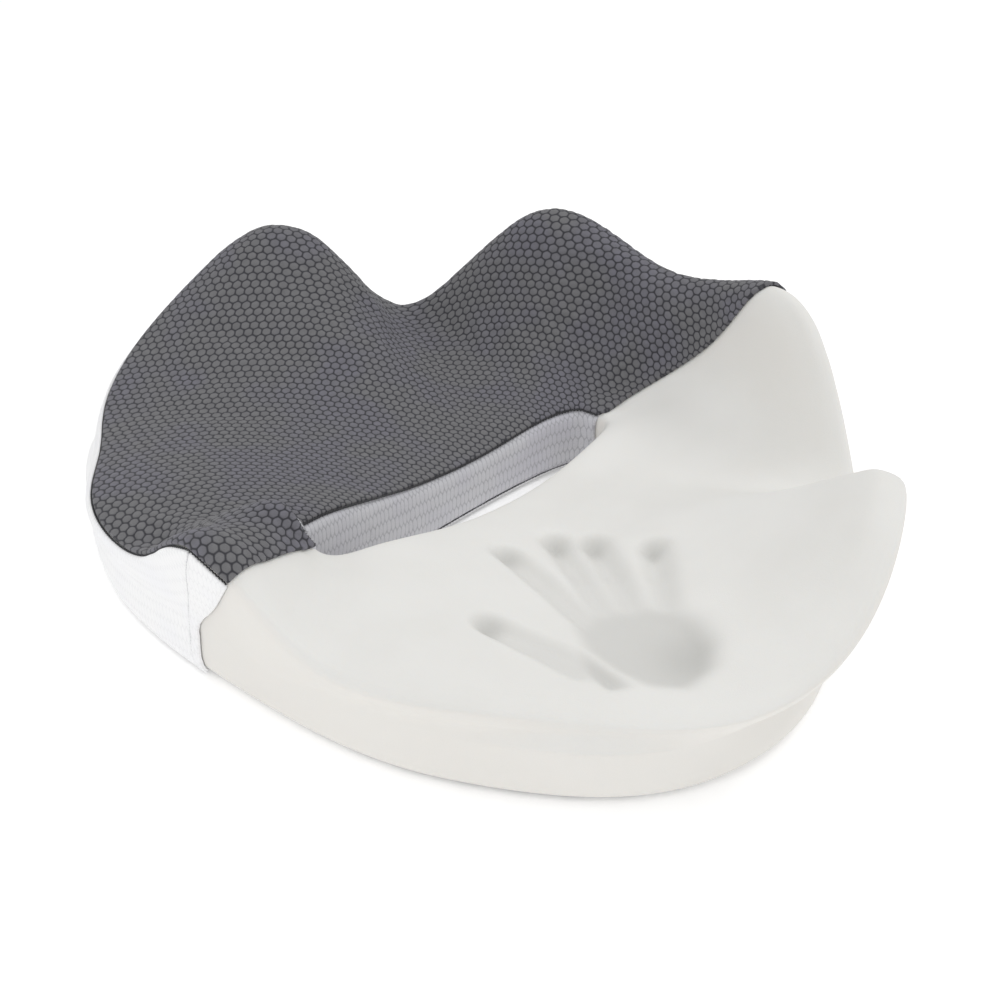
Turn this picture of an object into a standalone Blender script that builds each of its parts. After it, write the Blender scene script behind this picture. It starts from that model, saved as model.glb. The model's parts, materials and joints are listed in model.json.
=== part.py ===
"""Contoured memory-foam seat cushion with a hollow centre slot and a zipped cover.

The cover is cut away along the slot and from the slot's rear end to the right rear lobe: the
left part (-X) wears the cover and the right part (+X) is bare foam. The front, where the
thighs go, faces -Y. The origin lies on the floor under the middle of the cushion. The
cushion's shape is one closed section, from the slot wall over the seat and the rim down to
the underside, swept round the slot. Every cover panel is a patch of that same sweep, pushed
outwards by its own thickness.
"""
import math

import bpy
import numpy as np
from mathutils import Matrix, Vector

MM = 0.001

# Rim line, mirrored left to right: angle from the front (deg), radius and height (mm).
# The high stations are the front hump, the hip wing at 104 and the rear lobe at 146.
RIM = (
    (0, 196, 92), (15, 195, 61), (32, 206, 56), (52, 210, 50), (72, 235, 47), (90, 234, 81),
    (104, 216, 100), (117, 193, 47), (130, 182, 64), (146, 173, 112), (163, 166, 106), (180, 156, 97),
)
# Height of the slot's edge round the slot: angle from the front (deg), height (mm).
SLOT_EDGE = ((0, 85), (20, 66), (50, 54), (95, 35), (140, 37), (180, 36))

SLOT_WIDTH = 41.0
SLOT_FRONT = -141.0
SLOT_REAR = 84.0
SLOT_LIP = 6.0           # rounding of the slot's upper edge
RIM_ROUND = 14.0         # rounding of the rim
DISH_FILL = 0.42         # how early the seat starts to climb to the rim
FRONT_FILL = 0.26        # extra climb on the front hump
FRONT_SPREAD = 32.0      # width of the front hump (deg)
SEAT_START = 0.02        # climb to the rim that the seat has made near the slot
CUT_FILL = 0.36          # extra climb there along the cover's front edge
CUT_SPREAD = 26.0
WALL_LEAN = 0.83         # how long the outer wall keeps the rim's outline
WALL_LEAN_DROP = 0.3     # less so at the front
WALL_LEAN_SPREAD = 45.0

BASE_RADIUS = 200.0      # rear of the base outline: one circle
BASE_CENTRE_Y = -29.0
FRONT_CUT = 45.0         # how much the front of the base is flatter than that circle
FRONT_CUT_ANGLE = 66.0
HIP_BULGE = 18.0         # how much the base widens under the hips
HIP_ANGLE = 74.0
HIP_SPREAD = 36.0
FRONT_LEAN = 14.0        # the front edges run down to the left by up to this angle
LEAN_MIDDLE = 12.0
LEAN_BEHIND = 25.0
LEAN_AHEAD = 60.0
THIGH_ROLL = 9.0         # how much lower the rim's outer shoulder is at the thighs
THIGH_INSET = 12.0       # and how much earlier the seat starts to roll over there
THIGH_ANGLE = 44.0
THIGH_SPREAD = 42.0

SKIRT_TOP = 27.0         # the outer wall is upright below this height
BASE_THICK = 2.0
CLEAR = 0.4              # gap between neighbouring pieces
FOAM_BOTTOM = BASE_THICK + CLEAR
BASE_ROUND = 6.0         # rounding of the foam's lower edge
BASE_INSET = 7.0         # the base panel stops short of the foam's outline

PANEL = 2.0              # thickness of the cover fabric
SEAM_SHARE = 0.605       # the rim seam's place along the curve from slot lip to skirt
SEAM_HALF = 1.0          # half the gap that a seam leaves for its thread
THREAD = 0.35            # radius of a seam thread

COLUMN_STEP = 5.0        # spacing of the sweep's stations (deg)
CENTRE_SEAM = 0.22       # half the angle that the front seam takes (deg)
CUT_FRONT = 6.7          # the cover's front edge, just past the middle
CUT_REAR = 155.0         # the cover's rear edge on the rim, over the right rear lobe
FRONT_START = 20.0       # where the front edge starts on the slot
FRONT_SKEW = 50.0        # stations this far from CUT_FRONT lean towards that start
REAR_SKEW = (60.0, 50.0)  # the same before and after CUT_REAR, which starts at the slot's rear end
REAR_BOW = (26.0, 8.0)   # how far the inner and outer seat is pushed sideways, to keep it straight
SEAT_ROWS = 13
WALL_ROWS = 5
LIP_ANGLES = (20.0, 38.0, 52.0, 70.0, 90.0)
TUCK_ANGLES = (25.0, 50.0, 90.0)

# Zip in the rear-left of the band, along the base circle.
ZIP_WINDOW = (-175.0, -110.0)   # stations of the sweep between which the band is open
ZIP_TOP = 25.4
ZIP_BOTTOM = 5.2
ZIP_MIDDLE = 15.2
TAPE_INNER = 1.5         # radial distances from the foam's wall
TAPE_OUTER = 2.5
COIL_OUTER = 3.4
COIL_GAP = 0.6           # half the gap between the two coils
COIL_HEIGHT = 1.5
SLIDER_BACK = (0.4, 1.2)
SLIDER_FRONT = (3.8, 5.0)
SLIDER_HALF = 4.3        # half the slider's height
SLIDER_WEB = 0.3         # half the thickness of the web between the coils
SLIDER_LENGTH = 12.0
BRIDGE_RISE = (2.1, 3.3)  # inner and outer height of the bridge over the slider's face
BRIDGE_HALF = 0.8
BRIDGE_LENGTH = 9.0
PULL_BAR = 0.7           # radius of the pull tab's bar under the bridge
PULL_LENGTH = 27.0
PULL_HALF = 4.2
PULL_EYE = 7.0
PULL_THICK = 1.2
STOP_LENGTH = 2.4


def clear_scene():
    """Remove every object of the open file."""
    for item in list(bpy.data.objects):
        bpy.data.objects.remove(item, do_unlink=True)


def make_material(name, colour, roughness, metallic=0.0):
    """Return a Principled material."""
    material = bpy.data.materials.new(name)
    material.use_nodes = True
    shader = material.node_tree.nodes["Principled BSDF"]
    shader.inputs["Base Color"].default_value = (*colour, 1.0)
    shader.inputs["Roughness"].default_value = roughness
    shader.inputs["Metallic"].default_value = metallic
    return material


def make_object(name, vertices, faces, material, location=(0.0, 0.0, 0.0), smooth_angle=40.0):
    """Return a mesh object; vertices are in mm and relative to the location in mm."""
    mesh = bpy.data.meshes.new(name)
    points = np.asarray(vertices, dtype=float) * MM
    mesh.from_pydata([tuple(p) for p in points], [], [tuple(int(i) for i in f) for f in faces])
    mesh.materials.append(material)
    mesh.validate()
    mesh.shade_smooth()
    mesh.set_sharp_from_angle(angle=math.radians(smooth_angle))
    item = bpy.data.objects.new(name, mesh)
    item.location = Vector(location) * MM
    bpy.context.collection.objects.link(item)
    return item


def mirrored_spline(stations, angles):
    """Smooth closed curve through values given from 0 to 180 degrees and mirrored."""
    knots = np.array([s[0] for s in stations], dtype=float)
    values = np.array([s[1] for s in stations], dtype=float)
    x = np.concatenate([-knots[:0:-1], knots])
    y = np.concatenate([values[:0:-1], values])
    count = len(x) - 1
    step = np.diff(x)
    slope = np.diff(y) / step
    system = np.zeros((count, count))
    right = np.zeros(count)
    for i in range(count):
        before = step[i - 1]
        after = step[i]
        system[i, i - 1] += before
        system[i, i] += 2.0 * (before + after)
        system[i, (i + 1) % count] += after
        right[i] = 6.0 * (slope[i] - slope[i - 1])
    bend = np.linalg.solve(system, right)
    bend = np.append(bend, bend[0])
    k = np.clip(np.searchsorted(x, angles, side="right") - 1, 0, count - 1)
    a = (x[k + 1] - angles) / step[k]
    b = (angles - x[k]) / step[k]
    curve = ((a**3 - a) * bend[k] + (b**3 - b) * bend[k + 1]) * step[k]**2 / 6.0
    return a * y[k] + b * y[k + 1] + curve


def clamped_cubic(control, count):
    """Points on a clamped uniform cubic B-spline; control is (columns, points, 3)."""
    points = control.shape[1]
    knots = np.concatenate([np.zeros(3), np.arange(points - 2), np.full(3, points - 3)])
    t = np.linspace(0.0, points - 3 - 1e-9, count)
    basis = np.zeros((count, len(knots) - 1))
    for i in range(len(knots) - 1):
        basis[:, i] = (t >= knots[i]) & (t < knots[i + 1])
    for degree in (1, 2, 3):
        following = np.zeros((count, len(knots) - 1 - degree))
        for i in range(len(knots) - 1 - degree):
            width = knots[i + degree] - knots[i]
            if width > 0:
                following[:, i] += (t - knots[i]) / width * basis[:, i]
            width = knots[i + degree + 1] - knots[i + 1]
            if width > 0:
                following[:, i] += (knots[i + degree + 1] - t) / width * basis[:, i + 1]
        basis = following
    return np.einsum("nk,ckd->cnd", basis, control)


def heading(angles):
    """Unit plan vectors pointing out at the given angles from the front."""
    turn = np.radians(angles)
    return np.stack([np.sin(turn), -np.cos(turn)], axis=-1)


def hump(away, before, after):
    """Smooth hump: 1 at zero, falling to 0 at the two distances before and after it."""
    width = np.where(away < 0.0, before, after)
    return np.where(np.abs(away) < width, 0.5 + 0.5 * np.cos(np.pi * away / width), 0.0)


def base_radius(angles):
    """Distance of the base outline from the origin."""
    out = heading(angles)
    circle = BASE_CENTRE_Y * out[:, 1] + np.sqrt(BASE_RADIUS**2 - (BASE_CENTRE_Y * out[:, 0])**2)
    front = hump(angles, FRONT_CUT_ANGLE, FRONT_CUT_ANGLE)
    hip = hump(np.abs(angles) - HIP_ANGLE, HIP_SPREAD, HIP_SPREAD)
    return circle - FRONT_CUT * front + HIP_BULGE * hip


def base_outline(angles):
    """Plan points of the base outline under each station.

    The lean is taken at whole degrees, so that both sides of the front seam share one lean.
    """
    leaned = angles - FRONT_LEAN * hump(np.round(angles) - LEAN_MIDDLE, LEAN_BEHIND, LEAN_AHEAD)
    return heading(leaned) * base_radius(leaned)[:, None]


def rear_share(angles):
    """How much each station belongs to the cover's rear edge."""
    away = np.where(angles < -90.0, angles + 360.0, angles) - CUT_REAR
    return hump(away, *REAR_SKEW)


def slot_angles(angles):
    """Where each station starts on the slot."""
    front = (FRONT_START - CUT_FRONT) * hump(angles - CUT_FRONT, FRONT_SKEW, FRONT_SKEW)
    start = angles + (180.0 - CUT_REAR) * rear_share(angles) + front
    return np.where(start > 180.0, start - 360.0, start)


def slot_outline(angles):
    """Plan points of the slot's wall."""
    turn = np.radians(slot_angles(angles))
    across = SLOT_WIDTH / 2 * np.sign(np.sin(turn)) * np.abs(np.sin(turn))**0.55
    middle = (SLOT_FRONT + SLOT_REAR) / 2
    half = (SLOT_REAR - SLOT_FRONT) / 2
    along = middle - half * np.sign(np.cos(turn)) * np.abs(np.cos(turn))**0.9
    return np.stack([across, along], axis=-1)


def join_height(plan, height):
    """Plan points and heights as 3-D points."""
    return np.concatenate([plan, np.broadcast_to(height, plan.shape[0])[:, None]], axis=1)


def seat_curves(angles, count=400):
    """Fine curves from the slot's lip over the seat and rim down to the top of the skirt."""
    slot = slot_outline(angles)
    rim = heading(angles) * mirrored_spline([(s[0], s[1]) for s in RIM], angles)[:, None]
    base = base_outline(angles)
    crest = mirrored_spline([(s[0], s[2]) for s in RIM], angles)
    edge = mirrored_spline(SLOT_EDGE, slot_angles(angles))
    reach = rim - slot
    out = reach / np.linalg.norm(reach, axis=1)[:, None]
    fill = DISH_FILL + FRONT_FILL * np.exp(-(angles / FRONT_SPREAD)**2)
    start = SEAT_START + CUT_FILL * hump(angles - CUT_FRONT, CUT_SPREAD, CUT_SPREAD)
    rise = crest - edge
    wall = crest - SKIRT_TOP
    bow = np.stack([-out[:, 1], out[:, 0]], axis=1) * rear_share(angles)[:, None]
    thigh = hump(np.abs(angles) - THIGH_ANGLE, THIGH_SPREAD, THIGH_SPREAD)
    shoulder = crest + RIM_ROUND * 0.1 - THIGH_ROLL * thigh
    inset = (RIM_ROUND * 1.3 + THIGH_INSET * thigh)[:, None]
    lean = (WALL_LEAN - WALL_LEAN_DROP * hump(angles, WALL_LEAN_SPREAD, WALL_LEAN_SPREAD))[:, None]
    control = np.stack([
        join_height(slot + out * SLOT_LIP, edge),
        join_height(slot + reach * 0.30 + bow * REAR_BOW[0], edge + start * rise),
        join_height(slot + reach * 0.66 + bow * REAR_BOW[1], edge + fill * rise),
        join_height(rim - out * inset, crest - RIM_ROUND * 0.15),
        join_height(rim + out * RIM_ROUND * 0.25, shoulder),
        join_height(rim * lean + base * (1 - lean), SKIRT_TOP + wall * 0.45),
        join_height(base, SKIRT_TOP + wall * 0.12),
        join_height(base, SKIRT_TOP),
    ], axis=1)
    return clamped_cubic(control, count)


def at_lengths(curve, lengths):
    """Points of one polyline at the given distances from its start."""
    run = np.concatenate([[0.0], np.cumsum(np.linalg.norm(np.diff(curve, axis=0), axis=1))])
    return np.stack([np.interp(lengths, run, curve[:, k]) for k in range(3)], axis=1)


def seat_and_wall_rows(curve):
    """Rows of one station: seat up to the rim seam, then wall down to the skirt."""
    run = np.concatenate([[0.0], np.cumsum(np.linalg.norm(np.diff(curve, axis=0), axis=1))])
    seam = run[int(SEAM_SHARE * len(curve))]
    seat = np.linspace(0.0, 1.0, SEAT_ROWS + 1)[1:]**0.85 * (seam - SEAM_HALF)
    wall = np.linspace(seam + SEAM_HALF, run[-1], WALL_ROWS + 1)
    return at_lengths(curve, np.concatenate([seat, wall]))


def foam_grid(angles):
    """Closed section of the foam at each station: an array of (station, row, xyz)."""
    slot = slot_outline(angles)
    edge = mirrored_spline(SLOT_EDGE, slot_angles(angles))
    base = base_outline(angles)
    curves = seat_curves(angles)
    lead = curves[:, 0, :2] - slot
    lead = lead / np.linalg.norm(lead, axis=1)[:, None]
    inward = slot - base
    inward = inward / np.linalg.norm(inward, axis=1)[:, None]
    rows = []
    lip_foot = edge - SLOT_LIP
    for share in (0.0, 0.5, 1.0):
        rows.append(join_height(slot, FOAM_BOTTOM + share * (lip_foot - FOAM_BOTTOM)))
    for angle in LIP_ANGLES:
        turn = math.radians(angle)
        plan = slot + lead * SLOT_LIP * (1 - math.cos(turn))
        rows.append(join_height(plan, lip_foot + SLOT_LIP * math.sin(turn)))
    upper = np.stack([seat_and_wall_rows(curve) for curve in curves])
    rows.extend(upper[:, k] for k in range(upper.shape[1]))
    rows.append(join_height(base, ZIP_TOP))
    rows.append(join_height(base, FOAM_BOTTOM + BASE_ROUND))
    for angle in TUCK_ANGLES:
        turn = math.radians(angle)
        plan = base + inward * BASE_ROUND * (1 - math.cos(turn))
        rows.append(join_height(plan, FOAM_BOTTOM + BASE_ROUND * (1 - math.sin(turn))))
    return np.stack(rows, axis=1)


# Row numbers of the section, counted from the bottom of the slot wall.
ROW_WALL_FOOT = 0
ROW_LINING_TOP = 4
ROW_SEAT_START = 5
ROW_SEAT_END = 7 + SEAT_ROWS
ROW_BAND_START = ROW_SEAT_END + 1
ROW_ZIP_TOP = ROW_BAND_START + WALL_ROWS + 1
ROW_BAND_END = ROW_ZIP_TOP + 3


def column_angles():
    """Stations of the sweep, with two close together at the front seam and one at CUT_FRONT."""
    angles = list(np.arange(-180.0, 180.0, COLUMN_STEP))
    middle = angles.index(0.0)
    angles[middle:middle + 2] = [-CENTRE_SEAM, CENTRE_SEAM, CUT_FRONT]
    return np.array(angles)


def grid_normals(grid):
    """Outward unit normals of the closed sweep; the slot wall's foot faces straight in."""
    along = np.roll(grid, -1, axis=0) - np.roll(grid, 1, axis=0)
    up = np.roll(grid, -1, axis=1) - np.roll(grid, 1, axis=1)
    normal = np.cross(up, along)
    normal /= np.linalg.norm(normal, axis=2)[:, :, None]
    normal[:, ROW_WALL_FOOT] = normal[:, ROW_WALL_FOOT + 1]
    return normal


def torus_faces(columns, rows):
    """Triangles of a sweep that closes on itself both ways."""
    faces = []
    for c in range(columns):
        nxt = (c + 1) % columns
        for r in range(rows):
            up = (r + 1) % rows
            corner = (c * rows + r, nxt * rows + r, nxt * rows + up, c * rows + up)
            faces.append((corner[0], corner[2], corner[1]))
            faces.append((corner[0], corner[3], corner[2]))
    return faces


def shell_from_cells(outer, inner, cells):
    """Closed panel between two grids over a set of (column, row) cells."""
    columns = outer.shape[0]
    used = {}
    vertices = []

    def corner(c, r, side):
        key = (c % columns, r, side)
        if key not in used:
            used[key] = len(vertices)
            vertices.append(outer[key[0], r] if side == 0 else inner[key[0], r])
        return used[key]

    faces = []
    edges = set()
    for c, r in cells:
        ring = [(c, r), (c + 1, r), (c + 1, r + 1), (c, r + 1)]
        top = [corner(x, y, 0) for x, y in ring]
        low = [corner(x, y, 1) for x, y in ring]
        faces.append((top[0], top[2], top[1]))
        faces.append((top[0], top[3], top[2]))
        faces.append((low[0], low[1], low[2]))
        faces.append((low[0], low[2], low[3]))
        for k in range(4):
            start = ring[k]
            end = ring[(k + 1) % 4]
            edges.add(((start[0] % columns, start[1]), (end[0] % columns, end[1])))
    for start, end in sorted(edges):
        if (end, start) in edges:
            continue
        a = corner(*start, 0)
        b = corner(*end, 0)
        c = corner(*end, 1)
        d = corner(*start, 1)
        faces.append((a, b, c))
        faces.append((a, c, d))
    return vertices, faces


def block_cells(first, last, low, high):
    """Cells between two stations and two rows; a negative station is behind the start."""
    return [(c, r) for c in range(first, last) for r in range(low, high)]


def station(angles, angle):
    """Number of the station at an angle."""
    return int(np.argmin(np.abs(angles - angle)))


def tube(path, side, normal, radius=THREAD, sides=4):
    """Closed thread along a path, with square section turned to its frame."""
    vertices = []
    faces = []
    count = len(path)
    for i in range(count):
        for k in range(sides):
            turn = 2 * math.pi * k / sides + math.pi / sides
            vertices.append(path[i] + radius * (math.cos(turn) * side[i] + math.sin(turn) * normal[i]))
    for i in range(count - 1):
        for k in range(sides):
            nxt = (k + 1) % sides
            a = i * sides + k
            b = i * sides + nxt
            faces.append((a, b, b + sides))
            faces.append((a, b + sides, a + sides))
    faces.append(tuple(reversed(range(sides))))
    faces.append(tuple(range((count - 1) * sides, count * sides)))
    return vertices, faces


def unit(vectors):
    """Vectors scaled to length one."""
    return vectors / np.linalg.norm(vectors, axis=1)[:, None]


def seam_thread(name, path, normal, material):
    """Thread lying in a seam along the path, at the panels' mid thickness."""
    along = unit(np.gradient(path, axis=0))
    side = unit(np.cross(normal, along))
    square = unit(np.cross(along, side))
    vertices, faces = tube(path, side, square)
    return make_object(name, vertices, faces, material)


def arc_point(theta, radius, height):
    """Point on a circle about the base circle's centre; theta from the front (rad)."""
    return (radius * math.sin(theta), BASE_CENTRE_Y - radius * math.cos(theta), height)


def arc_bar(section, start, end, segments):
    """Closed bar: a section of (radial, height) points swept along the base circle."""
    vertices = []
    count = len(section)
    for i in range(segments + 1):
        theta = start + (end - start) * i / segments
        for radial, height in section:
            vertices.append(arc_point(theta, BASE_RADIUS + radial, height))
    faces = []
    for i in range(segments):
        for k in range(count):
            a = i * count + k
            b = i * count + (k + 1) % count
            faces.append((a, a + count, b + count, b))
    faces.append(tuple(range(count)))
    faces.append(tuple(reversed(range(segments * count, (segments + 1) * count))))
    return vertices, faces


def circle_angle(station):
    """Angle about the base circle's centre of the outline point at a station (rad)."""
    size = base_radius(np.array([station]))[0]
    out = heading(np.array([station]))[0]
    return math.atan2(size * out[0], BASE_CENTRE_Y - size * out[1])


def rectangle(radial, height):
    """Section of a bar, wound so that the bar's faces point out."""
    return [(radial[0], height[0]), (radial[1], height[0]), (radial[1], height[1]), (radial[0], height[1])]


def build_foam(grid, material):
    """The one-piece foam core."""
    columns, rows = grid.shape[:2]
    faces = torus_faces(columns, rows)
    return make_object("foam_core", grid.reshape(-1, 3), faces, material, smooth_angle=60.0)


def build_base(angles, material):
    """Flat non-slip panel under the foam, with the slot cut through it."""
    base = base_outline(angles)
    slot = slot_outline(angles)
    inward = slot - base
    inward = inward / np.linalg.norm(inward, axis=1)[:, None]
    outline = base + inward * BASE_INSET
    section = [join_height(slot, 0.0), join_height(slot, BASE_THICK),
               join_height(outline, BASE_THICK), join_height(outline, 0.0)]
    grid = np.stack(section, axis=1)
    faces = torus_faces(len(angles), 4)
    return make_object("base_panel", grid.reshape(-1, 3), faces, material)


def build_panels(angles, grid, normals, fabric):
    """Top panel, side bands and slot lining as patches of the sweep."""
    inner = grid + normals * CLEAR
    outer = grid + normals * (CLEAR + PANEL)
    first = station(angles, CUT_REAR) - len(angles)
    left_end = station(angles, -CENTRE_SEAM)
    cut = station(angles, CUT_FRONT)
    zip_from = station(angles, ZIP_WINDOW[0])
    zip_to = station(angles, ZIP_WINDOW[1])

    cells = block_cells(first, cut, ROW_SEAT_START, ROW_SEAT_END)
    make_object("top_panel", *shell_from_cells(outer, inner, cells), fabric["dark_knit"])

    cells = block_cells(first, left_end, ROW_BAND_START, ROW_BAND_END)
    window = set(block_cells(zip_from, zip_to, ROW_ZIP_TOP, ROW_BAND_END))
    cells = [cell for cell in cells if cell not in window]
    make_object("side_band", *shell_from_cells(outer, inner, cells), fabric["white_mesh"])

    cells = block_cells(left_end + 1, cut, ROW_BAND_START, ROW_BAND_END)
    make_object("side_band_front_end", *shell_from_cells(outer, inner, cells), fabric["white_mesh"])

    cells = block_cells(first, cut, ROW_WALL_FOOT, ROW_LINING_TOP)
    make_object("slot_lining", *shell_from_cells(outer, inner, cells), fabric["grey_mesh"])


def build_threads(angles, grid, normals, fabric):
    """Seam threads between the panels."""
    lift = CLEAR + PANEL / 2
    middle = grid + normals * lift
    left_end = station(angles, -CENTRE_SEAM)
    dark = fabric["dark_thread"]
    white = fabric["white_thread"]

    first = station(angles, CUT_REAR) - len(angles)
    span = np.arange(first, station(angles, CUT_FRONT) + 1)
    pairs = (("rim_seam_thread", ROW_SEAT_END, ROW_BAND_START, dark),
             ("slot_seam_thread", ROW_LINING_TOP, ROW_SEAT_START, dark))
    for name, low, high, material in pairs:
        path = (middle[span, low] + middle[span, high]) / 2
        normal = unit(normals[span, low] + normals[span, high])
        seam_thread(name, path, normal, material)

    rows = slice(ROW_BAND_START, ROW_BAND_END + 1)
    path = (middle[left_end, rows] + middle[left_end + 1, rows]) / 2
    normal = unit(normals[left_end, rows] + normals[left_end + 1, rows])
    seam_thread("front_seam_thread", path, normal, white)

    foot = grid[span, ROW_BAND_END] + normals[span, ROW_BAND_END] * lift
    toward = unit(grid[span, ROW_BAND_END + 1] - grid[span, ROW_BAND_END])
    path = foot + toward * (SEAM_HALF + THREAD)
    seam_thread("base_seam_thread", path, normals[span, ROW_BAND_END], white)

    path = middle[span, ROW_WALL_FOOT].copy()
    path[:, 2] = FOAM_BOTTOM - SEAM_HALF
    seam_thread("slot_foot_thread", path, normals[span, ROW_WALL_FOOT], white)


def build_zip(fabric):
    """Tapes, coils, stitch rows and stops of the zip, all along the base circle."""
    start = circle_angle(ZIP_WINDOW[0])
    end = circle_angle(ZIP_WINDOW[1])
    if start > 0:
        start -= 2 * math.pi
    gap = CLEAR / BASE_RADIUS
    start += gap
    end -= gap
    segments = 28
    upper_coil = (ZIP_MIDDLE + COIL_GAP, ZIP_MIDDLE + COIL_GAP + COIL_HEIGHT)
    lower_coil = (ZIP_MIDDLE - COIL_GAP - COIL_HEIGHT, ZIP_MIDDLE - COIL_GAP)
    tape_radial = (TAPE_INNER, TAPE_OUTER)
    coil_radial = (TAPE_INNER, COIL_OUTER)
    stitch_radial = (TAPE_OUTER + CLEAR, TAPE_OUTER + CLEAR + THREAD)
    stitch_up = ZIP_TOP - 2.4
    stitch_down = ZIP_BOTTOM + 2.0
    bars = (
        ("zip_tape_upper", tape_radial, (upper_coil[1] + CLEAR, ZIP_TOP - CLEAR), "tape"),
        ("zip_tape_lower", tape_radial, (ZIP_BOTTOM, lower_coil[0] - CLEAR), "tape"),
        ("zip_coil_upper", coil_radial, upper_coil, "coil"),
        ("zip_coil_lower", coil_radial, lower_coil, "coil"),
        ("zip_stitch_upper", stitch_radial, (stitch_up, stitch_up + 2 * THREAD), "white_thread"),
        ("zip_stitch_lower", stitch_radial, (stitch_down, stitch_down + 2 * THREAD), "white_thread"),
    )
    margin = STOP_LENGTH / BASE_RADIUS + gap
    for name, radial, height, key in bars:
        ends = (start, end)
        if key == "coil":
            ends = (start + margin, end - margin)
        make_object(name, *arc_bar(rectangle(radial, height), *ends, segments), fabric[key])
    stop_height = (lower_coil[0], upper_coil[1])
    for name, first in (("zip_top_stop", start), ("zip_bottom_stop", end - margin + gap)):
        last = first + STOP_LENGTH / BASE_RADIUS
        bar = arc_bar(rectangle((TAPE_INNER, COIL_OUTER), stop_height), first, last, 1)
        make_object(name, *bar, fabric["zip_metal"])
    return start + margin


def slider_section():
    """I-shaped section: back plate, web between the coils, front plate."""
    z = ZIP_MIDDLE
    back = SLIDER_BACK
    front = SLIDER_FRONT
    half = SLIDER_HALF
    web = SLIDER_WEB
    return [(back[0], z - half), (back[1], z - half), (back[1], z - web), (front[0], z - web),
            (front[0], z - half), (front[1], z - half), (front[1], z + half), (front[0], z + half),
            (front[0], z + web), (back[1], z + web), (back[1], z + half), (back[0], z + half)]


def bridge_solid(theta):
    """Arch over the slider's face, in the plane of the zip's middle line."""
    tangent = Vector((math.cos(theta), math.sin(theta), 0.0))
    radial = Vector((math.sin(theta), -math.cos(theta), 0.0))
    root = Vector(arc_point(theta, BASE_RADIUS + SLIDER_FRONT[1] - 0.3, ZIP_MIDDLE))
    half = BRIDGE_LENGTH / 2
    leg = BRIDGE_RISE[1] - BRIDGE_RISE[0]
    low = BRIDGE_RISE[0] + 0.3
    high = BRIDGE_RISE[1] + 0.3
    outline = [(-half, 0.0), (-half, high - 0.6), (-half + 0.6, high), (half - 0.6, high),
               (half, high - 0.6), (half, 0.0), (half - leg, 0.0), (half - leg, low),
               (-half + leg, low), (-half + leg, 0.0)]
    vertices = []
    for side in (-BRIDGE_HALF, BRIDGE_HALF):
        for along, out in outline:
            vertices.append(root + tangent * along + radial * out + Vector((0.0, 0.0, side)))
    count = len(outline)
    faces = [tuple(reversed(range(count))), tuple(range(count, 2 * count))]
    for k in range(count):
        nxt = (k + 1) % count
        faces.append((k, nxt, nxt + count, k + count))
    return vertices, faces


def build_slider(rest, material):
    """Slider body that runs round the base circle; its origin is the circle's centre."""
    centre = Vector((0.0, BASE_CENTRE_Y, ZIP_MIDDLE))
    half = SLIDER_LENGTH / 2 / BASE_RADIUS
    body = arc_bar(slider_section(), rest - half, rest + half, 4)
    shifted = [Vector(v) - centre for v in body[0]]
    slider = make_object("zip_slider", shifted, body[1], material, centre)
    arch = bridge_solid(rest)
    shifted = [v - centre for v in arch[0]]
    cutter = make_object("slider_bridge_tool", shifted, arch[1], material, centre)
    cutter.hide_render = True
    cutter.display_type = "WIRE"
    union = slider.modifiers.new("bridge", "BOOLEAN")
    union.operation = "UNION"
    union.solver = "EXACT"
    union.object = cutter
    return slider


def build_pull(rest, slider, material):
    """Pull tab: a plate with an eye, whose end bar turns under the slider's bridge."""
    pivot = Vector(arc_point(rest, BASE_RADIUS + SLIDER_FRONT[1] + BRIDGE_RISE[0] / 2, ZIP_MIDDLE))
    eye_half = BRIDGE_HALF + 0.7
    half = PULL_THICK / 2
    tip = PULL_LENGTH
    outline = [(-PULL_BAR, -PULL_HALF * 0.8), (PULL_EYE, -PULL_HALF), (tip - 2.0, -PULL_HALF),
               (tip, -PULL_HALF + 2.0), (tip, PULL_HALF - 2.0), (tip - 2.0, PULL_HALF),
               (PULL_EYE, PULL_HALF), (-PULL_BAR, PULL_HALF * 0.8)]
    eye = [(PULL_BAR, -eye_half), (PULL_EYE, -eye_half), (PULL_EYE, eye_half), (PULL_BAR, eye_half)]
    vertices = []
    for depth in (-half, half):
        for along, height in outline + eye:
            vertices.append((along, -depth, height))
    count = len(outline)
    total = count + 4
    caps = [(0, 1, 9, 8), (1, 2, 5, 6), (2, 3, 4, 5), (1, 6, 10, 9), (6, 7, 11, 10), (7, 0, 8, 11)]
    faces = [tuple(reversed(cap)) for cap in caps]
    faces.extend(tuple(i + total for i in cap) for cap in caps)
    for k in range(count):
        nxt = (k + 1) % count
        faces.append((k, nxt, nxt + total, k + total))
    for k in range(4):
        a = count + k
        b = count + (k + 1) % 4
        faces.append((b, a, a + total, b + total))
    pull = make_object("zip_pull_tab", vertices, faces, material)
    turned = Matrix.Rotation(rest, 4, "Z")
    pull.parent = slider
    local = pivot - Vector((0.0, BASE_CENTRE_Y, ZIP_MIDDLE))
    pull.matrix_parent_inverse = Matrix.Identity(4)
    pull.matrix_basis = Matrix.Translation(local * MM) @ turned
    return pull


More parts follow.
